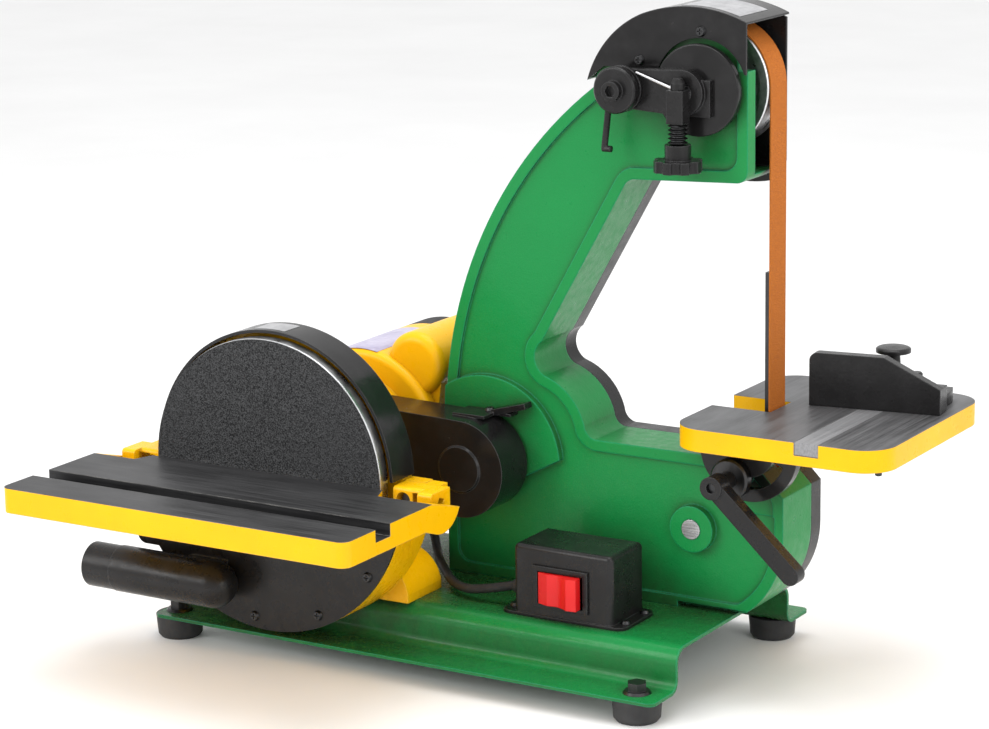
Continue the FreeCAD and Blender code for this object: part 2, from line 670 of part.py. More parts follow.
def make_top_guard():
    front, back, skin = D.guard_front, D.guard_back, D.guard_sheet
    solid = slab("guard_solid", guard_outline("guard_edge", sized(0), sized(0)), "front", front, back)
    inside = slab("guard_inside", guard_outline("guard_inner_edge", skin, sized(12)), "front",
                  front + skin, back + 1)
    cutout = rod("guard_hub_cutout", D.guard_cutout, 6, (D.hub_plate_x, front - 2, D.hub_plate_z), BACK)
    holes = [
        rod("guard_hole_%d" % number, 2.1, 8, (x, front - 2, z), BACK)
        for number, (x, z) in enumerate(guard_screw_spots())
    ]
    keep(cut("top_guard", solid, inside, cutout, *holes), "top_guard")


def guard_screw_spots():
    return [(D.arm_crown_x - 4, D.guard_low + 6), (D.wheel_x + 8, D.guard_right_z - 8)]


# ---------------------------------------------------------------- belt, wheels and platen

def loop_outline(name, wheels, extra):
    """A belt's line round wheels given clockwise from above, each an (x, z, radius)."""
    sketch = DOC.addObject("Sketcher::SketchObject", name)
    sketch.Placement = Placement(Vector(), VIEWS["front"][0])
    count = len(wheels)
    contacts = []
    for number in range(count):
        x1, z1, r1 = [sized(value).value for value in wheels[number]]
        x2, z2, r2 = [sized(value).value for value in wheels[(number + 1) % count]]
        r1, r2 = r1 + extra.value, r2 + extra.value
        span = math.hypot(x2 - x1, z2 - z1)
        heading = math.atan2(z2 - z1, x2 - x1)
        normal = heading + math.acos((r1 - r2) / span)
        contacts.append((
            Vector(x1 + r1 * math.cos(normal), z1 + r1 * math.sin(normal), 0),
            Vector(x2 + r2 * math.cos(normal), z2 + r2 * math.sin(normal), 0),
        ))
    for start, end in contacts:
        sketch.addGeometry(Part.LineSegment(start, end))
    for number, (x, z, radius) in enumerate(wheels):
        centre = Vector(sized(x).value, sized(z).value, 0)
        size = radius + extra
        arrive = contacts[number - 1][1] - centre
        leave = contacts[number][0] - centre
        start = math.atan2(leave.y, leave.x)
        end = math.atan2(arrive.y, arrive.x)
        circle = Part.Circle(centre, Vector(0, 0, 1), size.value)
        arc = sketch.addGeometry(Part.ArcOfCircle(circle, start, end))
        hold(sketch, Sketcher.Constraint("DistanceX", -1, 1, arc, 3, centre.x), sized(x))
        hold(sketch, Sketcher.Constraint("DistanceY", -1, 1, arc, 3, centre.y), sized(z))
        hold(sketch, Sketcher.Constraint("Radius", arc, size.value), size)
    for number in range(count):
        before = (number - 1) % count
        sketch.addConstraint(Sketcher.Constraint("Tangent", number, 1, count + number, 1))
        sketch.addConstraint(Sketcher.Constraint("Tangent", before, 2, count + number, 2))
    return sketch


def belt(name, wheels, gap, thickness, near, wide):
    outer = slab(name + "_outer", loop_outline(name + "_outer_line", wheels, gap + thickness),
                 "front", near, near + wide)
    inner = slab(name + "_inner", loop_outline(name + "_inner_line", wheels, sized(gap)),
                 "front", near - 1, near + wide + 1)
    return cut(name, outer, inner)


def belt_wheels():
    """The three wheels in the order that the belt meets them, clockwise from the drive wheel."""
    return [
        (D.drive_x, D.drive_z, D.drive_radius), (D.wheel_x, D.upper_z, D.wheel_radius),
        (D.wheel_x, D.lower_z, D.wheel_radius),
    ]


def make_abrasive_belt():
    keep(belt("abrasive_belt", belt_wheels(), D.belt_gap, D.belt_thick, D.belt_near, D.belt_wide),
         "abrasive_belt")


def idler_wheel(label, z):
    """Aluminium wheel with a web between its rim and a hub bored for two bearings."""
    wide, rim = D.wheel_wide, D.wheel_radius - D.wheel_rim
    middle = wide / 2
    seat = D.bearing_outer
    profile = [
        (seat, 1), (D.wheel_hub, 1), (D.wheel_hub, middle - D.wheel_web / 2),
        (rim, middle - D.wheel_web / 2), (rim, 0), (D.wheel_radius - 0.8, 0), (D.wheel_radius, 0.8),
        (D.wheel_radius, wide - 0.8), (D.wheel_radius - 0.8, wide), (rim, wide),
        (rim, middle + D.wheel_web / 2), (D.wheel_hub, middle + D.wheel_web / 2),
        (D.wheel_hub, wide - 1), (seat, wide - 1),
    ]
    keep(turned(label, (D.wheel_x, D.wheel_near, z), BACK, profile), label)


def bearing(name, spot):
    """Ball bearing with its shield set back between the rings."""
    bore, outer, wide, deep = D.bearing_bore + D.running_gap, D.bearing_outer, D.bearing_wide, D.race_deep
    profile = [
        (bore, 0), (D.race_inner, 0), (D.race_inner, deep), (D.race_outer, deep), (D.race_outer, 0),
        (outer, 0), (outer, wide), (D.race_outer, wide), (D.race_outer, wide - deep),
        (D.race_inner, wide - deep), (D.race_inner, wide), (bore, wide),
    ]
    return turned(name, spot, BACK, profile)


def make_bearings():
    inset = 1.5
    wheel_places = [D.wheel_near + inset, D.wheel_near + D.wheel_wide - inset - D.bearing_wide]
    for label, z in (("upper_wheel_bearings", D.upper_z), ("lower_wheel_bearings", D.lower_z)):
        pair = [bearing("%s_%d" % (label, number), (D.wheel_x, y, z)) for number, y in enumerate(wheel_places)]
        keep(group(label, *pair), label)
    fixed = [
        bearing("drive_bearing_%d" % number, (D.drive_x, D.arm_front + 1.5 + step, D.drive_z))
        for number, step in enumerate((0, 11.5))
    ]
    fixed += [
        bearing("motor_bearing_%d" % number, (D.disc_x, y, D.disc_z))
        for number, y in enumerate((D.motor_front + 0.5, D.motor_rear - 6.5))
    ]
    keep(group("shaft_bearings", *fixed), "shaft_bearings")


def make_axles():
    lower = fuse("lower_axle_blank",
                 rod("lower_axle_rod", D.bearing_bore, 61, (D.wheel_x, D.arm_front - 4.6, D.lower_z), BACK),
                 rod("lower_axle_clip", D.bearing_bore + 2, 1.6,
                     (D.wheel_x, D.wheel_near + D.wheel_wide + 0.4, D.lower_z), BACK))
    keep(lower, "lower_axle")
    upper = fuse("upper_axle_blank",
                 rod("upper_axle_rod", D.bearing_bore, 72.5,
                     (D.wheel_x, D.tension_front + 0.5, D.upper_z), BACK),
                 rod("upper_axle_shoulder", 12, 26, (D.wheel_x, D.hub_plate_back, D.upper_z), BACK),
                 rod("upper_axle_clip", D.bearing_bore + 2, 1.6,
                     (D.wheel_x, D.wheel_near + D.wheel_wide + 0.4, D.upper_z), BACK))
    keep(upper, "upper_axle")


def make_drive_train():
    shaft = rod("drive_shaft", D.bearing_bore, 94, (D.drive_x, D.pulley_near - 4, D.drive_z), BACK)
    keep(shaft, "drive_shaft")
    wide, radius = D.wheel_wide, D.drive_radius
    wheel = [
        (D.bearing_bore, 0), (radius - 5, 0), (radius - 5, 2), (radius, 2), (radius, wide),
        (radius - 5, wide), (radius - 5, wide - 8), (16, wide - 8), (16, wide), (D.bearing_bore, wide),
    ]
    keep(turned("drive_wheel", (D.drive_x, D.wheel_near, D.drive_z), BACK, wheel), "drive_wheel")
    keep(vee_pulley("driven_pulley", D.driven_pulley, D.drive_x, D.drive_z), "driven_pulley")
    keep(vee_pulley("motor_pulley", D.motor_pulley, D.disc_x, D.disc_z), "motor_pulley")
    pulleys = [
        (D.disc_x, D.disc_z, D.motor_pulley - D.vee_deep), (D.drive_x, D.drive_z, D.driven_pulley - D.vee_deep),
    ]
    near = D.pulley_near + D.pulley_wide / 2 - D.vee_belt_wide / 2
    keep(belt("drive_belt", pulleys, 0.5, D.vee_belt_thick, near, D.vee_belt_wide), "drive_belt")


def vee_pulley(name, radius, x, z):
    """Single-groove pulley with a hub."""
    wide, deep = D.pulley_wide, D.vee_deep
    middle = wide / 2
    half_belt = D.vee_belt_wide / 2 + 0.6
    profile = [
        (D.bearing_bore, 0), (radius, 0), (radius, middle - half_belt - 1.2),
        (radius - deep, middle - half_belt), (radius - deep, middle + half_belt),
        (radius, middle + half_belt + 1.2), (radius, wide), (14, wide), (14, wide + 4),
        (D.bearing_bore, wide + 4),
    ]
    return turned(name, (x, D.pulley_near, z), BACK, profile)


def make_platen():
    face = D.wheel_x + D.wheel_radius
    near = D.belt_near + (D.belt_wide - D.platen_wide) / 2
    strip = block("platen", (face - D.platen_thick, near, D.platen_low),
                  (face, near + D.platen_wide, D.platen_top))
    keep(strip, "platen")
    left = face - D.platen_thick - D.bracket_thick
    middle = D.belt_near + D.belt_wide / 2
    upright = block("bracket_upright", (left, middle - D.bracket_wide / 2, D.throat_floor - 15),
                    (left + D.bracket_thick, middle + D.bracket_wide / 2, D.table_top - 4))
    foot = block("bracket_foot", (left - 9, D.arm_front + D.arm_face + 1, D.throat_floor - 15),
                 (left + D.bracket_thick, middle + D.bracket_wide / 2, D.throat_floor - 6))
    keep(fuse("platen_bracket", upright, foot), "platen_bracket")


# ---------------------------------------------------------------- head: tension and tracking

def make_tension_parts():
    front = D.tension_front
    bar = slab("tension_bar", loop_outline("tension_bar_line", [
        (D.pivot_x, D.pivot_z, D.tension_end), (D.wheel_x, D.upper_z, D.hub_boss)], sized(0)),
        "front", front, D.hub_plate_front)
    lug = block("tension_lug", (D.wheel_x, front + 4, D.upper_z - 17),
                (D.wheel_x + 20.5, D.hub_plate_front, D.upper_z + 9.5))
    holes = [
        rod("arm_pivot_hole", 5.05, 30, (D.pivot_x, front - 5, D.pivot_z), BACK),
        rod("arm_axle_hole", D.bearing_bore, 30, (D.wheel_x, front - 5, D.upper_z), BACK),
    ]
    grip = front + 3
    top = (D.pivot_x - 12, grip, D.pivot_z - 9)
    handle_long = 37
    lean = Rotation(Vector(0, 0, 1), Vector(-4.5, 0, -handle_long))
    stem = rod("lever_stem", D.lever_rod, handle_long, top, lean)
    hook = rod("lever_hook", D.lever_rod, 7, (top[0] - 5.6, grip, top[2] - handle_long + 0.8), RIGHT)
    keep(cut("tension_arm", fuse("tension_blank", bar, lug, stem, hook), *holes), "tension_arm")
    plate = rod("hub_disc", D.hub_plate_radius, D.hub_plate_back - D.hub_plate_front,
                (D.hub_plate_x, D.hub_plate_front, D.hub_plate_z), BACK)
    hole = rod("hub_disc_hole", D.bearing_bore, 10, (D.wheel_x, D.hub_plate_front - 2, D.upper_z), BACK)
    plate = softened("hub_disc_soft", plate, 1.0, lambda middle, box: middle.y < D.hub_plate_front.value + 0.1)
    keep(cut("hub_plate", plate, hole), "hub_plate")
    spool = [
        (0, 0), (7.2, 0), (7.2, 5.5), (D.spool_radius - 1.2, 5.5), (D.spool_radius, 6.7), (D.spool_radius, 11),
        (D.spool_radius - 4, 11.6), (D.spool_radius - 4, 14.4), (D.spool_radius, 15), (D.spool_radius, 17.6),
        (5.0, 17.6), (5.0, 41), (0, 41),
    ]
    bolt = turned("pivot_bolt_blank", (D.pivot_x, 20, D.pivot_z), BACK, spool)
    socket = DOC.addObject("Part::Prism", "pivot_bolt_socket")
    socket.Polygon = 6
    socket.Circumradius = 4.4
    socket.Height = 5
    place(socket, (D.pivot_x, 19, D.pivot_z), BACK)
    keep(cut("tension_pivot", bolt, socket), "tension_pivot")


def make_tracking_parts():
    x, y = D.wheel_x, D.tracking_y
    neck_low = D.star_low + D.star_tall
    spring_low = neck_low + D.knob_neck_tall
    slab_block = block("tracking_blank", (x - 6.5, y - 5.5, D.track_block_low),
                       (x + 6.5, D.tension_front, D.track_block_top))
    hole = rod("tracking_hole", D.track_screw + 0.05, 60, (x, y, D.track_block_low - 5))
    keep(cut("tracking_block", slab_block, hole), "tracking_block")
    screw = [
        (0, 0), (D.track_screw, 0), (D.track_screw, 54.2), (5.2, 54.2), (5.2, 59), (3.2, 62.5),
        (0, 62.5),
    ]
    threaded = turned("tracking_screw", (x, y, D.star_low + 4.5), UP, screw)
    pitch = D.track_spring_tall / 5
    coil = [(3.4, 0)]
    for number in range(5):
        coil += [(5.2, pitch * number + 0.3), (7.2, pitch * (number + 0.5)), (5.2, pitch * (number + 1) - 0.3)]
    coil += [(3.4, D.track_spring_tall)]
    keep(turned("tracking_spring", (x, y, spring_low), UP, coil), "tracking_spring")
    disc = rod("star_disc", D.star_radius, D.star_tall, (x, y, D.star_low))
    neck = rod("star_neck", D.knob_neck, D.knob_neck_tall, (x, y, neck_low))
    flutes = []
    for number in range(8):
        angle = 22.5 + 45 * number
        reach = D.star_radius + 1.5
        spot = (x + reach * cosine(angle), y + reach * sine(angle), D.star_low - 1)
        flutes.append(rod("star_flute_%d" % number, 4.2, D.star_tall + 2, spot))
    keep(fuse("tracking_knob", cut("star_blank", fuse("star_solid", disc, neck), *flutes), threaded),
         "tracking_knob")


# ---------------------------------------------------------------- disc, housing, covers

def stay_spots():
    """The three long bolts through the housing, the drive guard and the motor's flange."""
    return [on_ring(D.disc_x, D.disc_z, D.stay_radius, angle) for angle in (0, 120, 240)]


def make_disc_housing():
    x, z = D.disc_x, D.disc_z
    front, back = D.housing_front_face, D.housing_back_face
    radius, wall = D.housing_radius, D.housing_wall
    lower = common("housing_lower", rod("housing_lower_disc", radius, back - front, (x, front, z), BACK),
                   block("housing_lower_half", (x - 150, front, z - 150), (x + 150, back, z + 1)))
    upper = rod("housing_upper_disc", D.ring_radius - D.ring_wall - 0.1, back - front, (x, front, z), BACK)
    band = cut("housing_band", rod("band_outer", radius, front - D.band_front, (x, D.band_front, z), BACK),
               rod("band_inner", radius - wall, 40, (x, D.band_front - 1, z), BACK),
               block("band_trim", (x - 150, D.band_front - 2, D.band_top), (x + 150, front + 2, z + 150)))
    reach, knee, waist = D.pedestal_reach, D.pedestal_knee_x, D.pedestal_waist_x
    step = D.deck_top + D.pedestal_step
    side = [
        (x + reach, D.deck_top), (x + reach, step), (x + knee, D.pedestal_knee_z),
        (x + waist, D.pedestal_waist_z), (x + waist - 12, z),
        (x - waist + 12, z), (x - waist, D.pedestal_waist_z), (x - knee, D.pedestal_knee_z),
        (x - reach, step), (x - reach, D.deck_top),
    ]
    curve = D.pedestal_knee_curve
    pedestal = slab("pedestal", outline("pedestal_outline", "front", side, {1: curve, 7: curve}),
                    "front", back - 1, D.pedestal_back)
    boss = rod("housing_boss", D.bearing_boss, D.pedestal_back - back, (x, back, z), BACK)
    holes = [
        rod("housing_shaft_hole", D.bearing_bore + 2, 80, (x, front - 2, z), BACK),
        rod("housing_hub_hole", 27, 8, (x, front - 2, z), BACK),
    ]
    holes += [
        rod("housing_stay_hole_%d" % number, 3.1, 80, (across, front - 2, up), BACK)
        for number, (across, up) in enumerate(stay_spots())
    ]
    holes += [
        rod("dust_screw_hole_%d" % number, 2.0, 14, (across, D.band_front - 1, up), BACK)
        for number, (across, up) in enumerate(dust_screw_spots())
    ]
    lugs = [
        common("dust_lug_%d" % number,
               rod("dust_lug_rod_%d" % number, 6, front - D.band_front, (across, D.band_front, up), BACK),
               rod("dust_lug_clip_%d" % number, radius - 1, 60, (x, D.band_front, z), BACK))
        for number, (across, up) in enumerate(dust_screw_spots())
    ]
    lugs += [
        block("bracket_lug_right", (x + 100, front, z - 30), (D.disc_table_right - 22, back, z + 0.2)),
        block("bracket_lug_left", (D.disc_table_left + 20, front, z - 30), (x - 100, back, z + 0.2)),
    ]
    holes += [
        rod("bracket_bolt_hole_%d" % number, 3.05, 30, (across, front - 5, up), BACK)
        for number, (across, up) in enumerate(bracket_bolt_spots())
    ]
    blank = fuse("housing_blank", lower, upper, band, pedestal, boss, *lugs)
    keep(cut("disc_housing", blank, *holes), "disc_housing")


def dust_screw_spots():
    ring = D.housing_radius - 9
    return [on_ring(D.disc_x, D.disc_z, ring, angle) for angle in (-36.5, -96, -160, -66)]


def make_disc_guard_ring():
    x, z = D.disc_x, D.disc_z
    depth = D.housing_back_face - D.ring_front
    ring = cut("guard_ring_blank", rod("guard_ring_outer", D.ring_radius, depth, (x, D.ring_front, z), BACK),
               rod("guard_ring_inner", D.ring_radius - D.ring_wall, depth + 4, (x, D.ring_front - 2, z), BACK),
               block("guard_ring_trim", (x - 150, D.ring_front - 2, z - 150),
                     (x + 150, D.housing_back_face + 2, z + 3)))
    keep(ring, "disc_guard_ring")


def ball(name, radius, spot):
    thing = DOC.addObject("Part::Sphere", name)
    bind(thing, "Radius", sized(radius))
    place(thing, spot)
    return thing


def dust_port():
    """Round-ended pipe across the front of the cover and the bore inside it."""
    y, z, radius, wall = D.port_y, D.port_z, D.port_radius, D.port_wall
    straight = D.port_round_x - D.port_left
    outer = [
        rod("port_spigot", D.spigot_radius, D.spigot_long + 1, (D.port_left, y, z), RIGHT),
        rod("port_pipe", radius, straight - D.spigot_long, (D.port_left + D.spigot_long, y, z), RIGHT),
        ball("port_nose", radius, (D.port_round_x, y, z)),
        block("port_saddle", (D.port_round_x - 34, y, z - 14), (D.port_round_x, D.dust_front + 1, z + 14)),
    ]
    inner = [
        rod("port_bore", radius - wall, straight + 1, (D.port_left - 1, y, z), RIGHT),
        ball("port_nose_bore", radius - wall, (D.port_round_x, y, z)),
        rod("port_throat", 12, 60, (D.port_round_x - 18, y, z), BACK),
    ]
    return fuse("port_blank", *outer), inner


def make_dust_cover():
    x, z = D.disc_x, D.disc_z
    front = D.dust_front
    back = front + D.dust_sheet
    plate = common("dust_half", rod("dust_disc", D.housing_radius, D.dust_sheet, (x, front, z), BACK),
                   block("dust_half_box", (x - 150, front - 1, z - 150), (x + 150, back + 1, D.dust_top)))
    ledge = padded("dust_ledge", (0, back, 0), VIEWS["front"][0], D.dust_sheet, [
        (D.ledge_right, D.ledge_low), (D.ledge_right, D.dust_top - 4), (D.ledge_left, D.dust_top - 4),
        (D.ledge_left, D.ledge_low + 8), (D.ledge_left + 8, D.ledge_low)], {3: 8})
    holes = [
        rod("dust_hole_%d" % number, 2.1, 8, (across, front - 2, up), BACK)
        for number, (across, up) in enumerate(dust_screw_spots())
    ]
    pipe, bore = dust_port()
    keep(cut("dust_cover", fuse("dust_cover_blank", plate, ledge, pipe), *(bore + holes)), "dust_cover")


def make_disc():
    x, z = D.disc_x, D.disc_z
    radius, thick, web = D.disc_radius, D.disc_thick, D.disc_web
    profile = [
        (0, 0), (radius - 0.8, 0), (radius, 0.8), (radius, thick), (radius - 5, thick), (radius - 5, web),
        (24, web), (24, 28), (D.bearing_bore, 28), (D.bearing_bore, web), (0, web),
    ]
    keep(turned("sanding_disc", (x, D.disc_front, z), BACK, profile), "sanding_disc")
    grit = rod("abrasive_disc", D.grit_radius, D.grit_thick, (x, D.disc_front - D.grit_thick, z), BACK)
    keep(grit, "abrasive_disc")


# ---------------------------------------------------------------- drive guard

def drive_loop(name, inset):
    wheels = [
        (D.disc_x, D.disc_z, D.drive_guard_radius), (D.drive_x, D.drive_z, D.drive_guard_radius),
    ]
    return loop_outline(name, wheels, -sized(inset))


def make_drive_guard():
    """Round-ended sheet guard, open behind, with a cap plate in front and a strap on top."""
    front, back, skin = D.drive_guard_front, D.drive_guard_back, D.guard_sheet
    shell = slab("drive_guard_shell", drive_loop("drive_guard_line", 0), "front", front, back)
    inside = slab("drive_guard_inside", drive_loop("drive_guard_inner_line", skin), "front",
                  front + skin, back + 1)
    cap = turned("drive_guard_cap", (D.drive_x, front - 1.5, D.drive_z), BACK,
                 [(0, 0), (17.2, 0), (18.5, 1.5), (18.5, 2), (0, 2)])
    top = D.drive_z + D.drive_guard_radius
    face = D.drive_boss_front
    strap = [
        block("strap_flat", (D.drive_x - 14, front + 14, top - 0.4), (D.drive_x + 14, back, top + 2.1)),
        block("strap_arm", (D.drive_x + 2, back - 8, top - 0.4), (D.drive_x + 28, face, top + 2.1)),
    ]
    tab = block("strap_tab", (0, 0, 0), (30, 10, 4.5))
    place(tab, (D.drive_x + 13, back - 9, top - 0.4), Rotation(Vector(0, -1, 0), 15))
    strap.append(tab)
    holes = [rod("guard_shaft_hole", D.bearing_bore + 2, 20, (D.disc_x, front - 2, D.disc_z), BACK)]
    holes += [
        rod("guard_stay_hole_%d" % number, 3.1, 60, (across, front - 2, up), BACK)
        for number, (across, up) in enumerate(stay_spots())
    ]
    holes += [rod("strap_hole", 2.1, 12, (D.drive_x + 8, back - 4, top - 4))]
    keep(cut("drive_guard", fuse("drive_guard_blank", cut("drive_guard_open", shell, inside), cap, *strap),
             *holes), "drive_guard")


def make_stays():
    stays = []
    for number, (across, up) in enumerate(stay_spots()):
        tag = "stay_%d" % number
        head = DOC.addObject("Part::Prism", tag + "_head")
        head.Polygon = 6
        head.Circumradius = 5.6
        head.Height = 5
        place(head, (across, D.housing_front_face - 5, up), BACK)
        shank = rod(tag + "_shank", 3.0, D.motor_front + 4 - D.housing_front_face,
                    (across, D.housing_front_face, up), BACK)
        stays.append(fuse(tag, head, shank))
    return stays


# ---------------------------------------------------------------- motor

def make_motor():
    x, z, front, rear = D.disc_x, D.disc_z, D.motor_front, D.motor_rear
    radius, wall, seat = D.motor_radius, D.motor_wall, D.bearing_outer
    long = rear - front
    frame = [
        (9.5, D.drive_guard_back - front), (D.motor_flange, D.drive_guard_back - front), (D.motor_flange, -1),
        (radius - 6, -1), (radius, 5), (radius, long), (radius - wall, long), (radius - wall, 6),
        (24, 6), (24, 12), (seat, 12), (seat, 0.3), (9.5, 0.3),
    ]
    body = turned("motor_frame", (x, front, z), BACK, frame, {3: 6})
    holes = [
        rod("motor_stay_hole_%d" % number, 3.1, 20, (across, front - 10, up), BACK)
        for number, (across, up) in enumerate(stay_spots())
    ]
    keep(cut("motor_body", body, *holes), "motor_body")
    stack = D.stack_back - D.stack_front
    stator = [(D.stator_bore, 0), (D.stator_radius, 0), (D.stator_radius, stack), (D.stator_bore, stack)]
    keep(turned("motor_stator", (x, D.stack_front, z), BACK, stator), "motor_stator")
    rotor = [(D.bearing_bore, 0), (D.rotor_radius, 0), (D.rotor_radius, stack), (D.bearing_bore, stack)]
    keep(turned("motor_rotor", (x, D.stack_front, z), BACK, rotor), "motor_rotor")
    shield = [
        (9.5, 6), (radius - wall - 0.2, 6), (radius - wall - 0.2, -4),
        (radius - wall - 4, -4), (radius - wall - 4, 0),
        (24, 0), (24, -7), (seat, -7), (seat, 5), (9.5, 5),
    ]
    keep(turned("motor_end_shield", (x, rear, z), BACK, shield), "motor_end_shield")
    shaft = rod("motor_shaft", D.bearing_bore, rear + 27 - D.disc_front - D.disc_web,
                (x, D.disc_front + D.disc_web, z), BACK)
    keep(shaft, "motor_shaft")
    hub = cut("fan_hub", rod("fan_hub_rod", 14, 16, (x, rear + 10, z), BACK),
              rod("fan_hub_bore", D.bearing_bore, 20, (x, rear + 8, z), BACK))
    blades = []
    for number in range(8):
        blade = block("fan_blade_%d" % number, (0, 0, 0), (D.fan_radius - 12, 14, 2))
        place(blade, (x + 12 * cosine(45 * number), rear + 11, z + 12 * sine(45 * number)),
              Rotation(Vector(0, -1, 0), 45 * number))
        blades.append(blade)
    keep(fuse("cooling_fan", hub, *blades), "cooling_fan")
    cowl_long = D.motor_end - rear
    cowl = [
        (0, cowl_long - 1.6), (radius - 15.6, cowl_long - 1.6), (radius - 1.6, cowl_long - 15.6),
        (radius - 1.6, 0.2), (radius, 0.2), (radius, cowl_long - 15), (radius - 15, cowl_long), (0, cowl_long),
    ]
    shell = turned("fan_cover_shell", (x, rear, z), BACK, cowl, {1: 14, 5: -15})
    slots = []
    for number in range(12):
        slot = block("cover_slot_%d" % number, (0, 0, -2), (26, 8, 2))
        place(slot, (x + 16 * cosine(30 * number), D.motor_end - 5, z + 16 * sine(30 * number)),
              Rotation(Vector(0, -1, 0), 30 * number))
        slots.append(slot)
    keep(cut("motor_fan_cover", shell, *slots), "motor_fan_cover")


def make_capacitor_cover():
    x, z, radius = D.capacitor_x, D.capacitor_z, D.capacitor_radius
    front, long = D.capacitor_front, D.capacitor_back - D.capacitor_front
    profile = [(0, 0), (radius - 8, 0), (radius, 8), (radius, long - 8), (radius - 8, long), (0, long)]
    dome = turned("capacitor_dome", (x, front, z), BACK, profile, {1: 8, 3: 8})
    saddle = padded("capacitor_saddle", (0, front + 6 + long - 12, 0), VIEWS["front"][0], long - 12, [
        (D.disc_x + 18, D.disc_z + 60), (D.disc_x + 64, D.disc_z + 24), (x + 22, z - 12), (x - 10, z + 23)])
    hollow = turned("capacitor_hollow", (x, front, z), BACK,
                    [(0, 3), (radius - 3, 3), (radius - 3, long - 3), (0, long - 3)])
    motor = rod("capacitor_saddle_cut", D.motor_radius, 300, (D.disc_x, D.motor_front - 20, D.disc_z), BACK)
    keep(cut("capacitor_cover", fuse("capacitor_blank", dome, saddle), hollow, motor), "capacitor_cover")


# ---------------------------------------------------------------- switch box and cable

def make_switch_box():
    low = D.deck_top
    foot = block("box_foot", (D.box_foot_left, D.box_front - 1.5, low),
                 (D.box_foot_right, D.box_back + 1, low + 2.5))
    foot = softened("box_foot_round", foot, 8, lambda middle, box: is_upright(box))
    case = block("box_case", (D.box_left, D.box_front, low), (D.box_right, D.box_back, D.box_top))
    case = softened("box_case_round", case, 4, lambda middle, box: middle.z > low.value + 10)
    wall = D.box_wall
    hollow = block("box_hollow", (D.box_left + wall, D.box_front + wall, low - 1),
                   (D.box_right - wall, D.box_back - wall, D.box_top - wall))
    window = block("box_window", (D.bezel_left + 3, D.box_front - 2, D.bezel_low + 2),
                   (D.bezel_right - 3, D.box_front + wall + 1, D.bezel_top - 3))
    holes = [
        rod("box_cable_hole", D.gland_radius - 2, 12,
            (D.box_left - 4, D.box_gland_y, low + D.box_gland_up), RIGHT),
        rod("box_mains_hole", D.gland_radius - 2, 12, (D.box_right - 18, D.box_back - 4, low + 16), BACK),
    ]
    holes += [
        rod("box_screw_hole_%d" % number, 2.1, 12, (across, along, low - 4))
        for number, (across, along) in enumerate(box_screw_spots())
    ]
    keep(cut("switch_box", fuse("box_blank", foot, case), hollow, window, *holes), "switch_box")
    bezel = block("bezel_frame", (D.bezel_left, D.box_front - D.bezel_proud, D.bezel_low),
                  (D.bezel_right, D.box_front, D.bezel_top))
    throat = block("bezel_throat", (D.bezel_left + 3.2, D.box_front - 1, D.bezel_low + 2.2),
                   (D.bezel_right - 3.2, D.box_front + 22, D.bezel_top - 3.2))
    well = block("bezel_well", (D.rocker_left - 1.2, D.box_front - 5, D.rocker_low - 0.5),
                 (D.rocker_right + 1.9, D.box_front + 19, D.rocker_top + 0.5))
    keep(cut("switch_bezel", fuse("bezel_blank", bezel, throat), well), "switch_bezel")


def box_screw_spots():
    return [
        (x, y)
        for x in (D.box_foot_left + 5.5, D.box_foot_right - 5.2)
        for y in (D.box_front + 12, D.box_back - 8)
    ]


def rocker_axis():
    return (D.rocker_left + D.rocker_right) / 2, D.box_front + 5


def make_rocker():
    """Rocker whose front falls away from a middle crease, standing proud at its right end."""
    left, right, face = D.rocker_left, D.rocker_right, D.box_front
    middle, pivot_y = rocker_axis()
    plan = [
        (left, face + 1), (left, face - 2.5), (left + 9, face - 5.5), (middle, face - 4.5),
        (right - 8, face - 9.5), (right, face - 8.5), (right, face - 2), (middle + 7, pivot_y + 4),
        (middle - 7, pivot_y + 4),
    ]
    solid = slab("rocker_blank", outline("rocker_plan", "plan", plan, {2: -30, 3: -30}),
                 "plan", D.rocker_low, D.rocker_top)
    keep(solid, "switch_rocker")


def gland_ends():
    """Where the motor cable leaves its two glands."""
    motor_end = (D.disc_x + D.gland_out, D.motor_front + D.gland_inset, D.disc_z - D.gland_down)
    box_end = (D.box_left - D.gland_long, D.box_gland_y, D.deck_top + D.box_gland_up)
    return motor_end, box_end


def make_glands():
    motor_end, box_end = gland_ends()
    profile = [
        (D.cable_radius, 0), (D.cable_radius + 1.2, 0), (D.gland_radius, D.gland_long - 3),
        (D.gland_radius + 1.5, D.gland_long - 3), (D.gland_radius + 1.5, D.gland_long),
        (D.cable_radius, D.gland_long),
    ]
    inward = Rotation(Vector(0, 0, 1), motor_heading() * -1)
    glands = [
        turned("motor_gland", motor_end, inward, profile), turned("box_gland", box_end, RIGHT, profile),
        turned("mains_gland", (D.box_right - 18, D.box_back + D.gland_long, D.deck_top + 16), FRONT, profile),
    ]
    keep(group("cable_glands", *glands), "cable_glands")


def motor_heading():
    """The way the cable leaves the motor: outwards from its axis, level with its gland."""
    return Vector(D.gland_out.value, 0, -D.gland_down.value).normalize()


# The motor cable's line, from the motor's gland down near the deck and along to the switch box.
CABLE_ROUTE = [
    (-107.8, 64.0, 90.1), (-96.9, 64.0, 77.0), (-89.0, 55.0, 67.5), (-77.0, 40.0, 62.0),
    (-62.0, 24.0, 61.0), (-46.0, 8.0, 58.5), (-28.0, -2.0, 57.5), (-6.0, -4.0, 61.5),
    (15.0, 0.0, 66.5),
]


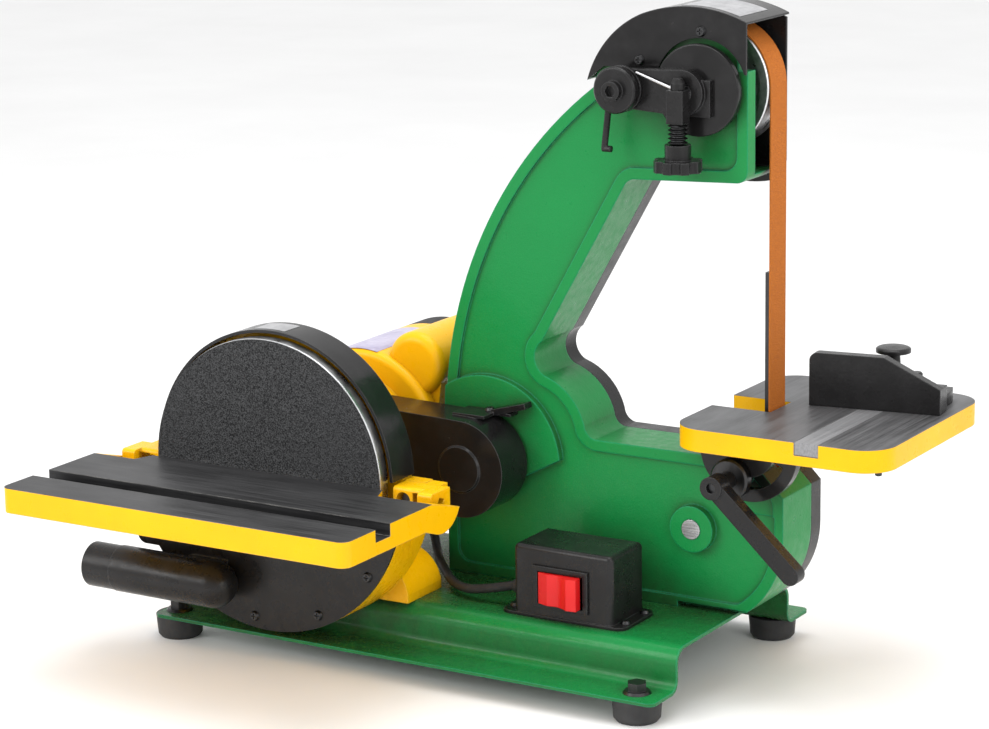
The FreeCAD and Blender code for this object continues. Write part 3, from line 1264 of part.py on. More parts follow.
def cable_path(points):
    """Straight runs joined by tangent arcs, each as large as its two runs allow."""
    edges = []
    last = points[0]
    radii = []
    for before, corner, after in zip(points, points[1:], points[2:]):
        arrive = (corner - before).normalize()
        leave = (after - corner).normalize()
        half_turn = arrive.getAngle(leave) / 2
        shorter = min((corner - before).Length, (after - corner).Length)
        reach = 0.45 * shorter
        radii.append(reach / math.tan(half_turn))
        start = corner - arrive * reach
        end = corner + leave * reach
        inward = (leave - arrive).normalize()
        centre = corner + inward * (radii[-1] / math.cos(half_turn))
        middle = centre + (corner - centre).normalize() * radii[-1]
        edges.append(Part.LineSegment(last, start).toShape())
        edges.append(Part.Arc(start, middle, end).toShape())
        last = end
    edges.append(Part.LineSegment(last, points[-1]).toShape())
    print("cable radii", [round(radius, 1) for radius in radii])
    return Part.Wire(edges)


def make_cable():
    points = [Vector(*spot) for spot in CABLE_ROUTE]
    path = cable_path(points)
    radius = D.cable_radius.value
    section = Part.Wire(Part.Circle(points[0], points[1] - points[0], radius).toShape())
    tube = path.makePipeShell([section], True, False)
    expected = math.pi * radius ** 2 * path.Length
    print("cable length %.1f volume %.0f expected %.0f" % (path.Length, tube.Volume, expected))
    cable = DOC.addObject("Part::Feature", "motor_cable")
    cable.Shape = tube
    keep(cable, "motor_cable")


def make_panel_screws():
    """The small cross-slotted screws that hold the covers, all alike."""
    screw = pan_screw("panel_screw", 8.0)
    long_screw = pan_screw("cover_screw", 22.0)
    front = [(x, D.dust_front, z) for x, z in dust_screw_spots()]
    front += [(x, D.guard_front, z) for x, z in guard_screw_spots()]
    rear = [(x, D.cover_back, z) for x, z in cover_screw_spots()]
    up = [(x, y, D.deck_top + 2.5) for x, y in box_screw_spots()]
    up += [(D.drive_x + 8, D.drive_guard_back - 4, D.drive_z + D.drive_guard_radius + 2.1)]
    screws = copies("front_screw", screw, front, FRONT)
    screws += copies("rear_screw", long_screw, rear, BACK)
    screws += copies("top_screw", screw, up)
    keep(group("panel_screws", *screws), "panel_screws")


# ---------------------------------------------------------------- belt table

def clamp_spot():
    return on_ring(D.tilt_x, D.tilt_z, D.clamp_radius, D.clamp_angle)


def make_belt_table():
    low = D.table_top - D.table_thick
    corners = [
        (D.table_left, D.table_near), (D.table_right, D.table_near), (D.table_right, D.table_far),
        (D.table_left, D.table_far), (D.table_left, D.notch_far), (D.notch_right, D.notch_far),
        (D.notch_right, D.notch_near), (D.table_left, D.notch_near),
    ]
    body = padded("table_plate", (0, 0, low), UP, D.table_thick, corners)
    limits = [D.table_near.value, D.table_far.value]
    rounded(body, D.table_corner, lambda middle, box: is_upright(box)
            and min(abs(middle.y - limit) for limit in limits) < 0.1)
    slot = block("mitre_slot", (D.mitre_left, D.table_near - 2, D.table_top - D.mitre_deep),
                 (D.mitre_left + D.mitre_wide, D.table_far + 2, D.table_top + 2))
    pin = rod("stop_hole", 2.6, 15, (D.table_right - 12.5, 33, low - 5))
    keep(cut("belt_table", body, slot, pin), "belt_table")


def make_table_trunnion():
    x, z, radius = D.tilt_x, D.tilt_z, D.trunnion_radius
    top = D.table_top - D.table_thick
    front = D.trunnion_front
    back = front + D.trunnion_thick
    half = slab("trunnion_half", outline("trunnion_edge", "front", [
        (x - radius, z), (x + radius, z), (x + radius, top), (x - radius, top)], {0: radius + 0.001}),
        "front", front, back)
    inner, outer = D.arc_slot_inner, D.arc_slot_outer
    start, end = D.arc_slot_start, D.arc_slot_end
    slot = slab("trunnion_slot", outline("trunnion_slot_edge", "front", [
        on_ring(x, z, outer, start), on_ring(x, z, outer, end), on_ring(x, z, inner, end),
        on_ring(x, z, inner, start)], {0: outer, 2: -inner}), "front", front - 1, back + 1)
    flange = block("trunnion_flange", (x - radius, front - 6, top - 4), (x + radius, back + 16, top))
    keep(cut("table_trunnion", fuse("trunnion_blank", half, flange), slot), "table_trunnion")


def make_table_clamp():
    x, z = clamp_spot()
    collar_start = D.trunnion_front - 8.3 - D.lever_near - 3
    profile = [
        (0, 0), (D.bolt_radius, 0), (D.bolt_radius, collar_start), (D.clamp_washer - 1.5, collar_start),
        (D.clamp_washer, collar_start + 1.5), (D.clamp_washer, collar_start + 8),
        (D.bolt_radius, collar_start + 8), (D.bolt_radius, 55.3), (0, 55.3),
    ]
    keep(turned("table_clamp_bolt", (x, D.lever_near + 3, z), BACK, profile), "table_clamp_bolt")
    near, far, reach, angle = D.lever_near, D.lever_far, D.lever_reach, D.lever_angle
    arm = slab("lever_arm", loop_outline("lever_arm_line", [
        (x, z, D.lever_hub - 2), on_ring(x, z, reach, -angle) + (D.lever_tip,)], sized(0)),
        "front", near + 2, far - 1)
    hub = rod("lever_hub", D.lever_hub, far - near, (x, near, z), BACK)
    neck = rod("lever_neck", 6.5, D.trunnion_front - 8.6 - far, (x, far, z), BACK)
    bore = rod("lever_bore", D.bolt_radius + D.running_gap, 60, (x, near + 2.9, z), BACK)
    socket = rod("lever_socket", 3.6, 8, (x, near - 1, z), BACK)
    keep(cut("table_lever", fuse("lever_blank", arm, hub, neck), bore, socket), "table_lever")


# ---------------------------------------------------------------- mitre gauge

def make_mitre_gauge():
    middle = D.mitre_left + D.mitre_wide / 2
    floor = D.table_top - D.mitre_deep
    low, half = D.table_top, D.bar_wide / 2
    bar = block("mitre_bar_blank", (middle - half, D.table_near + 0.4, floor + 0.2),
                (middle + half, D.table_far - 0.8, floor + 0.2 + D.bar_thick))
    hole = rod("bar_pivot_hole", 4.0, 20, (middle, D.head_pivot_y, floor - 2))
    keep(cut("mitre_bar", bar, hole), "mitre_bar")
    turn = Rotation(Vector(0, 0, 1), D.head_turn.value)
    face, thick = D.head_face_y - D.head_pivot_y, D.head_thick
    left, right = D.head_left - middle, D.head_right - middle
    slope = D.head_slope_x - middle
    fence = padded("mitre_fence", (0, face + thick, 0), VIEWS["front"][0], thick, [
        (left, 0.3), (left, D.head_tall - 6), (left + 6, D.head_tall), (slope, D.head_tall),
        (right, D.head_low_tall), (right, 0.3)], {1: -6})
    end_block = block("mitre_end", (right - 14, face, 0.3), (right, face + 19, D.head_low_tall))
    quadrant = common("mitre_quadrant",
                      rod("mitre_round", D.protractor, 9, (0, 0, 0.3)),
                      block("mitre_back_half", (-60, face + 2, 0), (60, 14, 12)))
    rib = block("mitre_rib", (-7, face + thick - 1, 0.3), (7, -8, 24))
    boss = rod("mitre_boss", 12, 19.7, (0, 0, 0.3))
    bore = rod("mitre_bore", 4.05, 40, (0, 0, -5))
    head = cut("mitre_head_blank", fuse("mitre_blank", fence, end_block, quadrant, rib, boss), bore)
    head_group = group("mitre_head", head)
    place(head_group, (middle, D.head_pivot_y, low), turn)
    keep(head_group, "mitre_head")
    knob = [
        (0, -9.4), (4.0, -9.4), (4.0, 20.2), (6, 20.2), (5, 34), (D.mitre_knob, 35.9),
        (D.mitre_knob, 38.5), (D.mitre_knob - 3, 39.8), (0, 40.5),
    ]
    keep(turned("mitre_knob", (middle, D.head_pivot_y, low), UP, knob, {6: 3.5}), "mitre_knob")


# ---------------------------------------------------------------- disc table

def stud_spot():
    """Side-view place of the locking stud, on a ring about the tilt axis."""
    return on_ring(D.disc_tilt_y, D.disc_table_top, D.stud_ring, -D.stud_angle)


def make_disc_table():
    top = D.disc_table_top
    low = top - D.disc_table_thick
    far, edge = D.disc_table_far, D.disc_table_edge
    corners = [
        (D.disc_table_left, D.disc_table_near), (D.disc_table_right, D.disc_table_near),
        (D.disc_table_right, far), (D.edge_right + 6, far), (D.edge_right, edge),
        (D.edge_left, edge), (D.edge_left - 6, far), (D.disc_table_left, far),
    ]
    body = padded("disc_table_plate", (0, 0, low), UP, D.disc_table_thick, corners)
    rounded(body, D.disc_table_corner, lambda middle, box: is_upright(box)
            and abs(middle.y - D.disc_table_near.value) < 0.1)
    bevel = slab("disc_table_bevel", outline("bevel_edge", "side", [
        (edge + 1, top - 1.2), (edge + 1, low - 1), (edge - D.disc_table_thick, low - 1)]),
        "side", D.disc_table_left - 1, D.disc_table_right + 1)
    bevel = common("bevel_middle", bevel, block("bevel_box", (D.edge_left - 7, edge - 40, low - 5),
                                                (D.edge_right + 7, edge + 10, top + 5)))
    slot = block("disc_table_slot", (D.disc_table_left - 2, D.disc_slot_near, top - D.disc_slot_deep),
                 (D.disc_table_right + 2, D.disc_slot_near + D.disc_slot_wide, top + 2))
    y, radius = D.disc_tilt_y, D.ear_radius
    ears = []
    holes = []
    for side, start in (("left", D.disc_table_left), ("right", D.disc_table_right - D.ear_thick)):
        ear = slab("ear_%s" % side, outline("ear_%s_edge" % side, "side", [
            (far - 12, top - 0.6), (far - 12, low + 1), on_ring(y, top, radius, -107),
            on_ring(y, top, radius, -D.ear_slope), (far + 2, top - 0.6)], {2: radius}),
            "side", start, start + D.ear_thick)
        ears.append(ear)
        spot = stud_spot()
        depth = -1 if side == "right" else 3
        holes.append(rod("stud_hole_" + side, D.stud_radius + D.running_gap, D.ear_thick - 2,
                         (start + depth, spot[0], spot[1]), RIGHT))
    blank = fuse("disc_table_blank", body, *ears)
    keep(cut("disc_table", blank, slot, bevel, *holes), "disc_table")


def bracket_bolt_spots():
    """Front-view places of the two bolts that hold the brackets to the housing."""
    reach = D.ear_thick + 1 + D.bracket_plate - D.bracket_bolt_in
    up = D.disc_table_top - 9
    return [
        (D.disc_table_left + reach + D.bracket_left, up), (D.disc_table_right - reach - D.bracket_right, up),
    ]


def make_trunnion_bracket(side, sign, ear_face, bolt, long):
    """Fixed bracket beside an ear: an open-slotted plate and a block bolted to the housing."""
    y, top, back = D.disc_tilt_y, D.disc_table_top, D.housing_front_face
    outer_face = ear_face - sign * 1.0
    inner_face = outer_face - sign * D.bracket_plate
    block_end = inner_face - sign * long
    low, high = sorted((outer_face, inner_face), key=lambda size: size.value)
    plate = block("bracket_plate_" + side, (low, y + 4, top - 27), (high, back, top + 0.7))
    start, end = sorted((inner_face, block_end), key=lambda size: size.value)
    body = block("bracket_block_" + side, (start, back - 18, top - 24), (end, back, top + 0.7))
    inner, outer = D.stud_ring - D.stud_radius - 0.5, D.stud_ring + D.stud_radius + 0.5
    first, last = -D.stud_angle - 13, -D.stud_angle + 56
    slot = slab("bracket_slot_" + side, outline("bracket_slot_edge_" + side, "side", [
        on_ring(y, top, outer, first), on_ring(y, top, outer, last), on_ring(y, top, inner, last),
        on_ring(y, top, inner, first)], {0: outer, 2: -inner}), "side", low - 1, high + 1)
    room = sorted((inner_face + sign, inner_face - sign * 9), key=lambda size: size.value)
    head_room = block("bracket_room_" + side, (room[0], back - 20, top - 30), (room[1], back - 7, top - 2.3))
    pocket = rod("bracket_pocket_" + side, 6.0, 12, (bolt[0], back - 20, bolt[1]), BACK)
    hole = rod("bracket_hole_" + side, 3.05, 40, (bolt[0], back - 20, bolt[1]), BACK)
    blank = softened("bracket_soft_" + side, fuse("bracket_blank_" + side, plate, body), 3,
                     lambda centre, box: abs(centre.z - top.value - 0.7) < 0.1 and box.YLength < 0.1
                     and centre.y < back.value - 10)
    keep(cut("trunnion_bracket_" + side, blank, slot, head_room, pocket, hole), "trunnion_bracket_" + side)
    return inner_face


def bracket_bolt(side, bolt):
    """Hexagon bolt through a bracket into the housing."""
    back = D.housing_front_face
    head = DOC.addObject("Part::Prism", "bracket_bolt_head_" + side)
    head.Polygon = 6
    head.Circumradius = 4.6
    head.Height = 5
    place(head, (bolt[0], back - 13, bolt[1]), BACK)
    shank = rod("bracket_bolt_shank_" + side, 3.0, 18, (bolt[0], back - 8, bolt[1]), BACK)
    return fuse("bracket_bolt_" + side, head, shank)


def make_lock_screw(side, sign, inner_face, ear_face):
    """Socket-headed screw that passes through the bracket's slot into the table's ear."""
    spot = stud_spot()
    turn = RIGHT if sign > 0 else LEFT
    reach = D.bracket_plate + 1 + 6.4
    profile = [
        (0, -3), (2.6, -3), (2.6, -6), (D.lock_head - 0.6, -6), (D.lock_head, -5.4), (D.lock_head, 0),
        (D.stud_radius, 0), (D.stud_radius, reach), (0, reach),
    ]
    label = "tilt_lock_" + side
    keep(turned(label, (inner_face - sign * 0.4, spot[0], spot[1]), turn, profile), label)


def make_disc_table_supports():
    bolts = []
    ends = (
        ("left", -1, D.disc_table_left + D.ear_thick, D.bracket_left),
        ("right", 1, D.disc_table_right - D.ear_thick, D.bracket_right),
    )
    for (side, sign, ear_face, long), bolt in zip(ends, bracket_bolt_spots()):
        inner_face = make_trunnion_bracket(side, sign, ear_face, bolt, long)
        bolts.append(bracket_bolt(side, bolt))
        make_lock_screw(side, sign, inner_face, ear_face)
    keep(group("housing_bolts", *(bolts + make_stays())), "housing_bolts")


# ---------------------------------------------------------------- assembly

def check_document():
    """Stop if any object failed, or if a sub-part has no sound shape."""
    faults = [
        thing.Name for thing in DOC.Objects
        if "Invalid" in thing.State or "Error" in thing.State
    ]
    faults += [
        part.Label for part in PARTS
        if part.Shape.isNull() or not part.Shape.isValid() or not part.Shape.Solids
    ]
    if faults:
        raise RuntimeError("no sound solid in " + ", ".join(faults))


def write_parts():
    os.makedirs("parts", exist_ok=True)
    for part in PARTS:
        part.Shape.exportStep("parts/%s.step" % part.Label)
        box = part.Shape.BoundBox
        print("%-22s solids %2d volume %10.0f  x %7.1f..%7.1f y %7.1f..%7.1f z %7.1f..%7.1f" % (
            part.Label, len(part.Shape.Solids), part.Shape.Volume,
            box.XMin, box.XMax, box.YMin, box.YMax, box.ZMin, box.ZMax))
    print(len(PARTS), "sub-parts")


def main():
    fill_sheet()
    make_base_plate()
    make_feet()
    make_frame_bolts()
    profile = arm_outline()
    make_arm_casting(profile)
    make_rear_cover(profile)
    make_top_guard()
    make_abrasive_belt()
    idler_wheel("upper_wheel", D.upper_z)
    idler_wheel("lower_wheel", D.lower_z)
    make_bearings()
    make_axles()
    make_drive_train()
    make_platen()
    make_tension_parts()
    make_tracking_parts()
    make_disc_housing()
    make_disc_guard_ring()
    make_dust_cover()
    make_disc()
    make_drive_guard()
    make_motor()
    make_capacitor_cover()
    make_switch_box()
    make_rocker()
    make_glands()
    make_cable()
    make_panel_screws()
    make_belt_table()
    make_table_trunnion()
    make_table_clamp()
    make_mitre_gauge()
    make_disc_table()
    make_disc_table_supports()
    DOC.recompute()
    check_document()
    write_parts()


main()
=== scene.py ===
import math

import bpy
from mathutils import Matrix, Vector


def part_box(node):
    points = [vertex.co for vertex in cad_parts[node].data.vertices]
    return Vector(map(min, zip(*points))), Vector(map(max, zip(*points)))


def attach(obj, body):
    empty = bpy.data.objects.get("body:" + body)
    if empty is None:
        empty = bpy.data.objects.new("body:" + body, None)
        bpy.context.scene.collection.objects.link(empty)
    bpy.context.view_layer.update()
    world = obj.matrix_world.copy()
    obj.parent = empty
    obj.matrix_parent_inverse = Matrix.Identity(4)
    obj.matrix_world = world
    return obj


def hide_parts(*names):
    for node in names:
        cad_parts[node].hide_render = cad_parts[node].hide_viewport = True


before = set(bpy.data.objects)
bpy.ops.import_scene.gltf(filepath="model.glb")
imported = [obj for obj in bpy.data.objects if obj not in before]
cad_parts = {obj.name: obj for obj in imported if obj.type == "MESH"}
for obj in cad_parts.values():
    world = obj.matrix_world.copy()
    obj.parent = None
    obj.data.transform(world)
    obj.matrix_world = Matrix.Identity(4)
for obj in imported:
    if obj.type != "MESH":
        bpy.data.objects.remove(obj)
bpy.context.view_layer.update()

# The camera stands to the right of the machine and a little above it.
CAMERA_PLACE = Vector((1.16544, -1.90442, 0.76055))
CAMERA_AZIMUTH = 31.465
CAMERA_ELEVATION = 13.271
CAMERA_ROLL = -0.908
LENS = 113.4
SENSOR = 36.0

# Boxes of the nodes that the extra pieces and the paint are placed from, in metres.
TABLE_LOW, TABLE_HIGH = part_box("belt_table")
BAR_LOW, BAR_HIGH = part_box("mitre_bar")
KNOB_LOW, KNOB_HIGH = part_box("mitre_knob")
TRACK_LOW, TRACK_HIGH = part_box("tracking_block")
HOOD_LOW, HOOD_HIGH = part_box("top_guard")
TRUNNION_LOW, TRUNNION_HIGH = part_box("table_trunnion")
HEAD_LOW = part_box("mitre_head")[0]
RING_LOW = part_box("disc_guard_ring")[0]
MOTOR_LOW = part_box("motor_body")[0]
SPOOL_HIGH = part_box("tension_pivot")[1]
DISC_TABLE_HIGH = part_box("disc_table")[1]

# The mitre slots: their depth, and their two edges across the disc table and along the belt table.
SLOT_DEPTH = 0.0095
DISC_SLOT = (-0.1639, -0.1451)
BELT_SLOT = (0.2391, 0.2579)

# Centre across and up, and radius, of the round surfaces that carry the labels.
HOOD_RADIUS = 0.1123
MOTOR_ROUND = (-0.1571, 0.1494, 0.068)
RING_ROUND = (-0.1571, 0.1494, 0.1068)
HOOD_ROUND = (0.1348, HOOD_HIGH[2] - HOOD_RADIUS, HOOD_RADIUS)

# The motor's cable, on the same points as its CAD tube.
CABLE_RADIUS = 0.0035
CABLE_ROUTE = [
    (-0.1078, 0.064, 0.0901), (-0.0969, 0.064, 0.077), (-0.089, 0.055, 0.0675), (-0.077, 0.040, 0.062),
    (-0.062, 0.024, 0.061), (-0.046, 0.008, 0.0585), (-0.028, -0.002, 0.0575), (-0.006, -0.004, 0.0615),
    (0.015, 0.0, 0.0665),
]

# Paint and material colours, linear.
GREEN = (0.005, 0.238, 0.053)
# Painted shade colour for the green enamel's corners and crevices.
GREEN_PAINTED_SHADE = (0.026, 0.046, 0.018)
# Painted highlight colour for the green enamel's edges, which also stands for paint worn there.
GREEN_EDGE = (0.02, 0.42, 0.24)
YELLOW = (0.96, 0.50, 0.001)
MOTOR_YELLOW = (0.93, 0.49, 0.004)
# Darker yellow: painted shade in the yellow enamel's corners, and the cloudy tone of the tables' paint.
YELLOW_DARK = (0.50, 0.27, 0.004)
# Painted highlight colour for the yellow enamel's edges, which also stands for paint worn there.
YELLOW_EDGE = (1.0, 0.66, 0.05)
BLACK = (0.010, 0.0095, 0.0098)
BLACK_WORN = (0.036, 0.035, 0.036)
STEEL = (0.62, 0.62, 0.63)
# Near black, painted as the shadow on the casting behind the table's trunnion.
PAINTED_SHADOW_COLOUR = (0.012, 0.014, 0.012)


# ---------------------------------------------------------------- materials

class Nodes:
    """A material's node tree, built with short calls."""

    def __init__(self, name):
        self.material = bpy.data.materials.new(name)
        self.material.use_nodes = True
        self.tree = self.material.node_tree
        self.shader = self.tree.nodes["Principled BSDF"]

    def add(self, kind, settings=None, **inputs):
        """A node; inputs are numbers, colours or the outputs of other nodes."""
        node = self.tree.nodes.new(kind)
        for key, value in (settings or {}).items():
            setattr(node, key, value)
        for key, value in inputs.items():
            self.feed(node, key.replace("_", " "), value)
        return node

    def feed(self, node, socket, value):
        target = node.inputs[int(socket)] if socket.isdigit() else node.inputs[socket]
        if isinstance(value, bpy.types.NodeSocket):
            self.tree.links.new(value, target)
        else:
            target.default_value = value

    def shade(self, **inputs):
        for key, value in inputs.items():
            self.feed(self.shader, key.replace("_", " "), value)

    def place(self, scale=(1, 1, 1), turn=(0, 0, 0)):
        """Position on the object, stretched by a scale for each axis."""
        where = self.add("ShaderNodeTexCoord").outputs["Object"]
        mapping = self.add("ShaderNodeMapping", Vector=where, Scale=scale, Rotation=turn)
        return mapping.outputs["Vector"]

    def noise(self, scale, detail=4.0, vector=None, rough=0.6):
        vector = vector or self.place()
        node = self.add("ShaderNodeTexNoise", Vector=vector, Scale=scale, Detail=detail, Roughness=rough)
        return node.outputs["Fac"]

    def cells(self, scale, vector=None):
        vector = vector or self.place()
        return self.add("ShaderNodeTexVoronoi", Vector=vector, Scale=scale).outputs["Distance"]

    def ramp(self, value, low, high, start=0.0, end=1.0):
        """A value stretched so that low to high becomes start to end."""
        node = self.add("ShaderNodeMapRange", Value=value)
        node.inputs["From Min"].default_value = low
        node.inputs["From Max"].default_value = high
        node.inputs["To Min"].default_value = start
        node.inputs["To Max"].default_value = end
        return node.outputs["Result"]

    def mix(self, factor, first, second):
        node = self.tree.nodes.new("ShaderNodeMix")
        node.data_type = "RGBA"
        for socket, value in ((0, factor), (6, first), (7, second)):
            if isinstance(value, tuple):
                value = value + (1.0,)
            self.feed(node, str(socket), value)
        return node.outputs[2]

    def math(self, operation, first, second=0.0):
        node = self.add("ShaderNodeMath", {"operation": operation})
        self.feed(node, "0", first)
        self.feed(node, "1", second)
        return node.outputs[0]

    def crevice(self, reach):
        """1 in the open and towards 0 deep in corners."""
        node = self.add("ShaderNodeAmbientOcclusion", {"samples": 6})
        node.inputs["Distance"].default_value = reach
        return node.outputs["AO"]

    def edges(self, radius, gain):
        """0 on flat faces and towards 1 along edges."""
        soft = self.add("ShaderNodeBevel", {"samples": 4})
        soft.inputs["Radius"].default_value = radius
        normal = self.add("ShaderNodeNewGeometry").outputs["Normal"]
        dot = self.add("ShaderNodeVectorMath", {"operation": "DOT_PRODUCT"})
        self.feed(dot, "0", soft.outputs["Normal"])
        self.feed(dot, "1", normal)
        away = self.math("SUBTRACT", 1.0, dot.outputs["Value"])
        return self.add("ShaderNodeClamp", Value=self.math("MULTIPLY", away, gain)).outputs[0]

    def relief(self, strength, distance, *heights, radius=0.0008):
        """Bump from the sum of some heights, over edges rounded by a small radius."""
        total = heights[0]
        for height in heights[1:]:
            total = self.math("ADD", total, height)
        soft = self.add("ShaderNodeBevel", {"samples": 4})
        soft.inputs["Radius"].default_value = radius
        bump = self.add("ShaderNodeBump", Height=total, Normal=soft.outputs["Normal"])
        bump.inputs["Strength"].default_value = strength
        bump.inputs["Distance"].default_value = distance
        self.feed(self.shader, "Normal", bump.outputs["Normal"])

    def facing(self, axis):
        """How far the surface faces along one of the object's own axes."""
        normal = self.add("ShaderNodeTexCoord").outputs["Normal"]
        return self.add("ShaderNodeSeparateXYZ", Vector=normal).outputs[axis]

    def height(self, axis="Z"):
        where = self.add("ShaderNodeTexCoord").outputs["Object"]
        return self.add("ShaderNodeSeparateXYZ", Vector=where).outputs[axis]


def enamel(name, colour, dark, pale, grain, roughness, radius=0.0012, reach=0.02, shadow_spot=None):
    """Sprayed paint: slight orange peel, painted shade in corners, and edges paler as painted highlight and
    as paint worn thin.

    The last argument is the middle and radius of a patch painted near black as a cast shadow.
    """
    n = Nodes(name)
    cloudy = n.ramp(n.noise(9, 3), 0.35, 0.7)
    paint = n.mix(n.math("MULTIPLY", cloudy, 0.35), colour, tuple(0.72 * c for c in colour))
    # Painted shade: corners and crevices darkened in patches towards the dark colour by ambient occlusion.
    painted_corner_shade = n.ramp(n.crevice(reach), 0.3, 0.95, 0.9, 0.0)
    patchy_painted_corner_shade = n.math("MULTIPLY", painted_corner_shade, n.ramp(n.noise(60, 4), 0.3, 0.6, 0.65, 1.0))
    paint = n.mix(patchy_painted_corner_shade, paint, dark)
    # Painted shadow: a round patch darkened near black around a given middle.
    if shadow_spot:
        middle, spread = shadow_spot
        where = n.add("ShaderNodeTexCoord").outputs["Object"]
        away = n.add("ShaderNodeVectorMath", {"operation": "DISTANCE"})
        n.feed(away, "0", where)
        n.feed(away, "1", middle)
        painted_shadow = n.ramp(away.outputs["Value"], 0.8 * spread, spread, 0.95, 0.0)
        paint = n.mix(painted_shadow, paint, PAINTED_SHADOW_COLOUR)
    # Painted highlight: edges paler towards the pale colour, also standing for paint worn thin there.
    edge_highlight_and_wear = n.math("MULTIPLY", n.edges(0.0016, 4.0), 0.6)
    n.shade(Base_Color=n.mix(edge_highlight_and_wear, paint, pale), Metallic=0.0)
    n.shade(Roughness=n.ramp(n.noise(140, 5), 0.3, 0.7, roughness - 0.08, roughness + 0.12))
    n.shade(Specular_IOR_Level=0.2, Coat_Weight=0.06, Coat_Roughness=0.1)
    peel = n.math("MULTIPLY", n.noise(700, 2), 0.6)
    n.relief(grain, 0.0008, peel, n.noise(90, 3), radius=radius)
    return n.material


def gloss_black(name, roughness, grain, scale, radius):
    """Black paint or moulded plastic with a fine texture, lighter grey along its edges as painted highlight
    and rubbed wear.
    """
    n = Nodes(name)
    dust = n.math("MULTIPLY", n.ramp(n.noise(34, 5), 0.45, 0.8), 0.35)
    colour = n.mix(dust, BLACK, BLACK_WORN)
    # Painted highlight: edges lightened to grey, also standing for rubbed paint.
    edge_highlight_and_wear = n.math("MULTIPLY", n.edges(0.001, 4.0), 0.4)
    n.shade(Base_Color=n.mix(edge_highlight_and_wear, colour, (0.16, 0.16, 0.165)))
    n.shade(Roughness=n.ramp(n.noise(80, 5), 0.3, 0.75, roughness - 0.05, roughness + 0.14))
    n.shade(Specular_IOR_Level=0.27)
    n.relief(grain, 0.0006, n.noise(scale, 3), radius=radius)
    return n.material


def machined_table(name, top, along, slot, dark, light):
    """Yellow painted casting with a ground grey top and slot, brushed along one axis."""
    n = Nodes(name)
    across = "Y" if along == "X" else "X"
    stretch = (900, 12, 400) if along == "Y" else (12, 900, 400)
    fine = n.noise(1.0, 3, n.place(stretch))
    broad = n.noise(14, 4, n.place((1, 3, 1) if along == "X" else (3, 1, 1)))
    ground = n.mix(n.ramp(fine, 0.3, 0.7), dark, light)
    ground = n.mix(n.ramp(broad, 0.4, 0.7, 0.0, 0.5), ground, tuple(1.35 * c for c in light))
    rust = n.ramp(n.noise(45, 5), 0.66, 0.78, 0.0, 0.25)
    ground = n.mix(rust, ground, (0.07, 0.06, 0.05))
    cloudy = n.ramp(n.noise(12, 3), 0.35, 0.7, 0.0, 0.3)
    paint = n.mix(cloudy, YELLOW, YELLOW_DARK)
    # Painted shade: the yellow paint darkened to brown in corners by ambient occlusion.
    paint = n.mix(n.ramp(n.crevice(0.012), 0.3, 0.9, 0.7, 0.0), paint, (0.16, 0.09, 0.01))
    is_top = n.math("GREATER_THAN", n.height(), top - 0.0003)
    in_slot = n.math("GREATER_THAN", n.height(), top - SLOT_DEPTH - 0.0003)
    in_slot = n.math("MULTIPLY", in_slot, n.math("GREATER_THAN", n.height(across), slot[0] - 0.0002))
    in_slot = n.math("MULTIPLY", in_slot, n.math("LESS_THAN", n.height(across), slot[1] + 0.0002))
    slot_wall = n.math("LESS_THAN", n.math("ABSOLUTE", n.facing(along)), 0.5)
    bare = n.math("MAXIMUM", is_top, n.math("MULTIPLY", in_slot, slot_wall))
    # Painted shade: the ground iron inside the mitre slot darkened towards black.
    ground = n.mix(n.math("MULTIPLY", in_slot, 0.6), ground, (0.02, 0.02, 0.021))
    colour = n.mix(bare, paint, ground)
    chip = n.math("MULTIPLY", n.edges(0.0011, 5.0), n.ramp(n.noise(55, 4), 0.4, 0.6, 0.1, 0.7))
    n.shade(Base_Color=n.mix(chip, colour, (0.34, 0.33, 0.31)))
    n.shade(Metallic=n.math("MULTIPLY", bare, 0.6), Specular_IOR_Level=0.2)
    rough_paint = n.ramp(n.noise(120, 4), 0.3, 0.7, 0.24, 0.4)
    rough_iron = n.ramp(fine, 0.3, 0.7, 0.38, 0.55)
    rough = n.add("ShaderNodeMix", {"data_type": "FLOAT"})
    n.feed(rough, "0", bare)
    n.feed(rough, "2", rough_paint)
    n.feed(rough, "3", rough_iron)
    n.shade(Roughness=rough.outputs[0])
    lines = n.math("MULTIPLY", fine, bare)
    n.relief(0.25, 0.0004, lines, n.math("MULTIPLY", n.noise(500, 2), 0.4), radius=0.0011)
    return n.material


def brushed(name, colour, stretch, roughness=0.28, metallic=1.0):
    """Bright metal with fine tool marks drawn out along one axis."""
    n = Nodes(name)
    marks = n.noise(1.0, 4, n.place(stretch))
    smear = n.noise(40, 4)
    dull = tuple(c * 0.62 for c in colour)
    n.shade(Base_Color=n.mix(n.ramp(marks, 0.3, 0.7), dull, colour), Metallic=metallic)
    n.shade(Roughness=n.ramp(n.math("ADD", marks, smear), 0.7, 1.3, roughness - 0.08, roughness + 0.14))
    n.relief(0.15, 0.0003, marks, radius=0.0006)
    return n.material


def turned_metal(name, colour, roughness=0.3):
    """Lathe-turned metal: fine marks that run round the Y axis."""
    n = Nodes(name)
    marks = n.noise(1.0, 3, n.place((260, 2100, 260)))
    n.shade(Base_Color=n.mix(n.ramp(marks, 0.3, 0.7), tuple(c * 0.7 for c in colour), colour), Metallic=1.0)
    n.shade(Roughness=n.ramp(n.noise(60, 4), 0.3, 0.7, roughness - 0.06, roughness + 0.12))
    n.relief(0.12, 0.0003, marks, radius=0.0008)
    return n.material


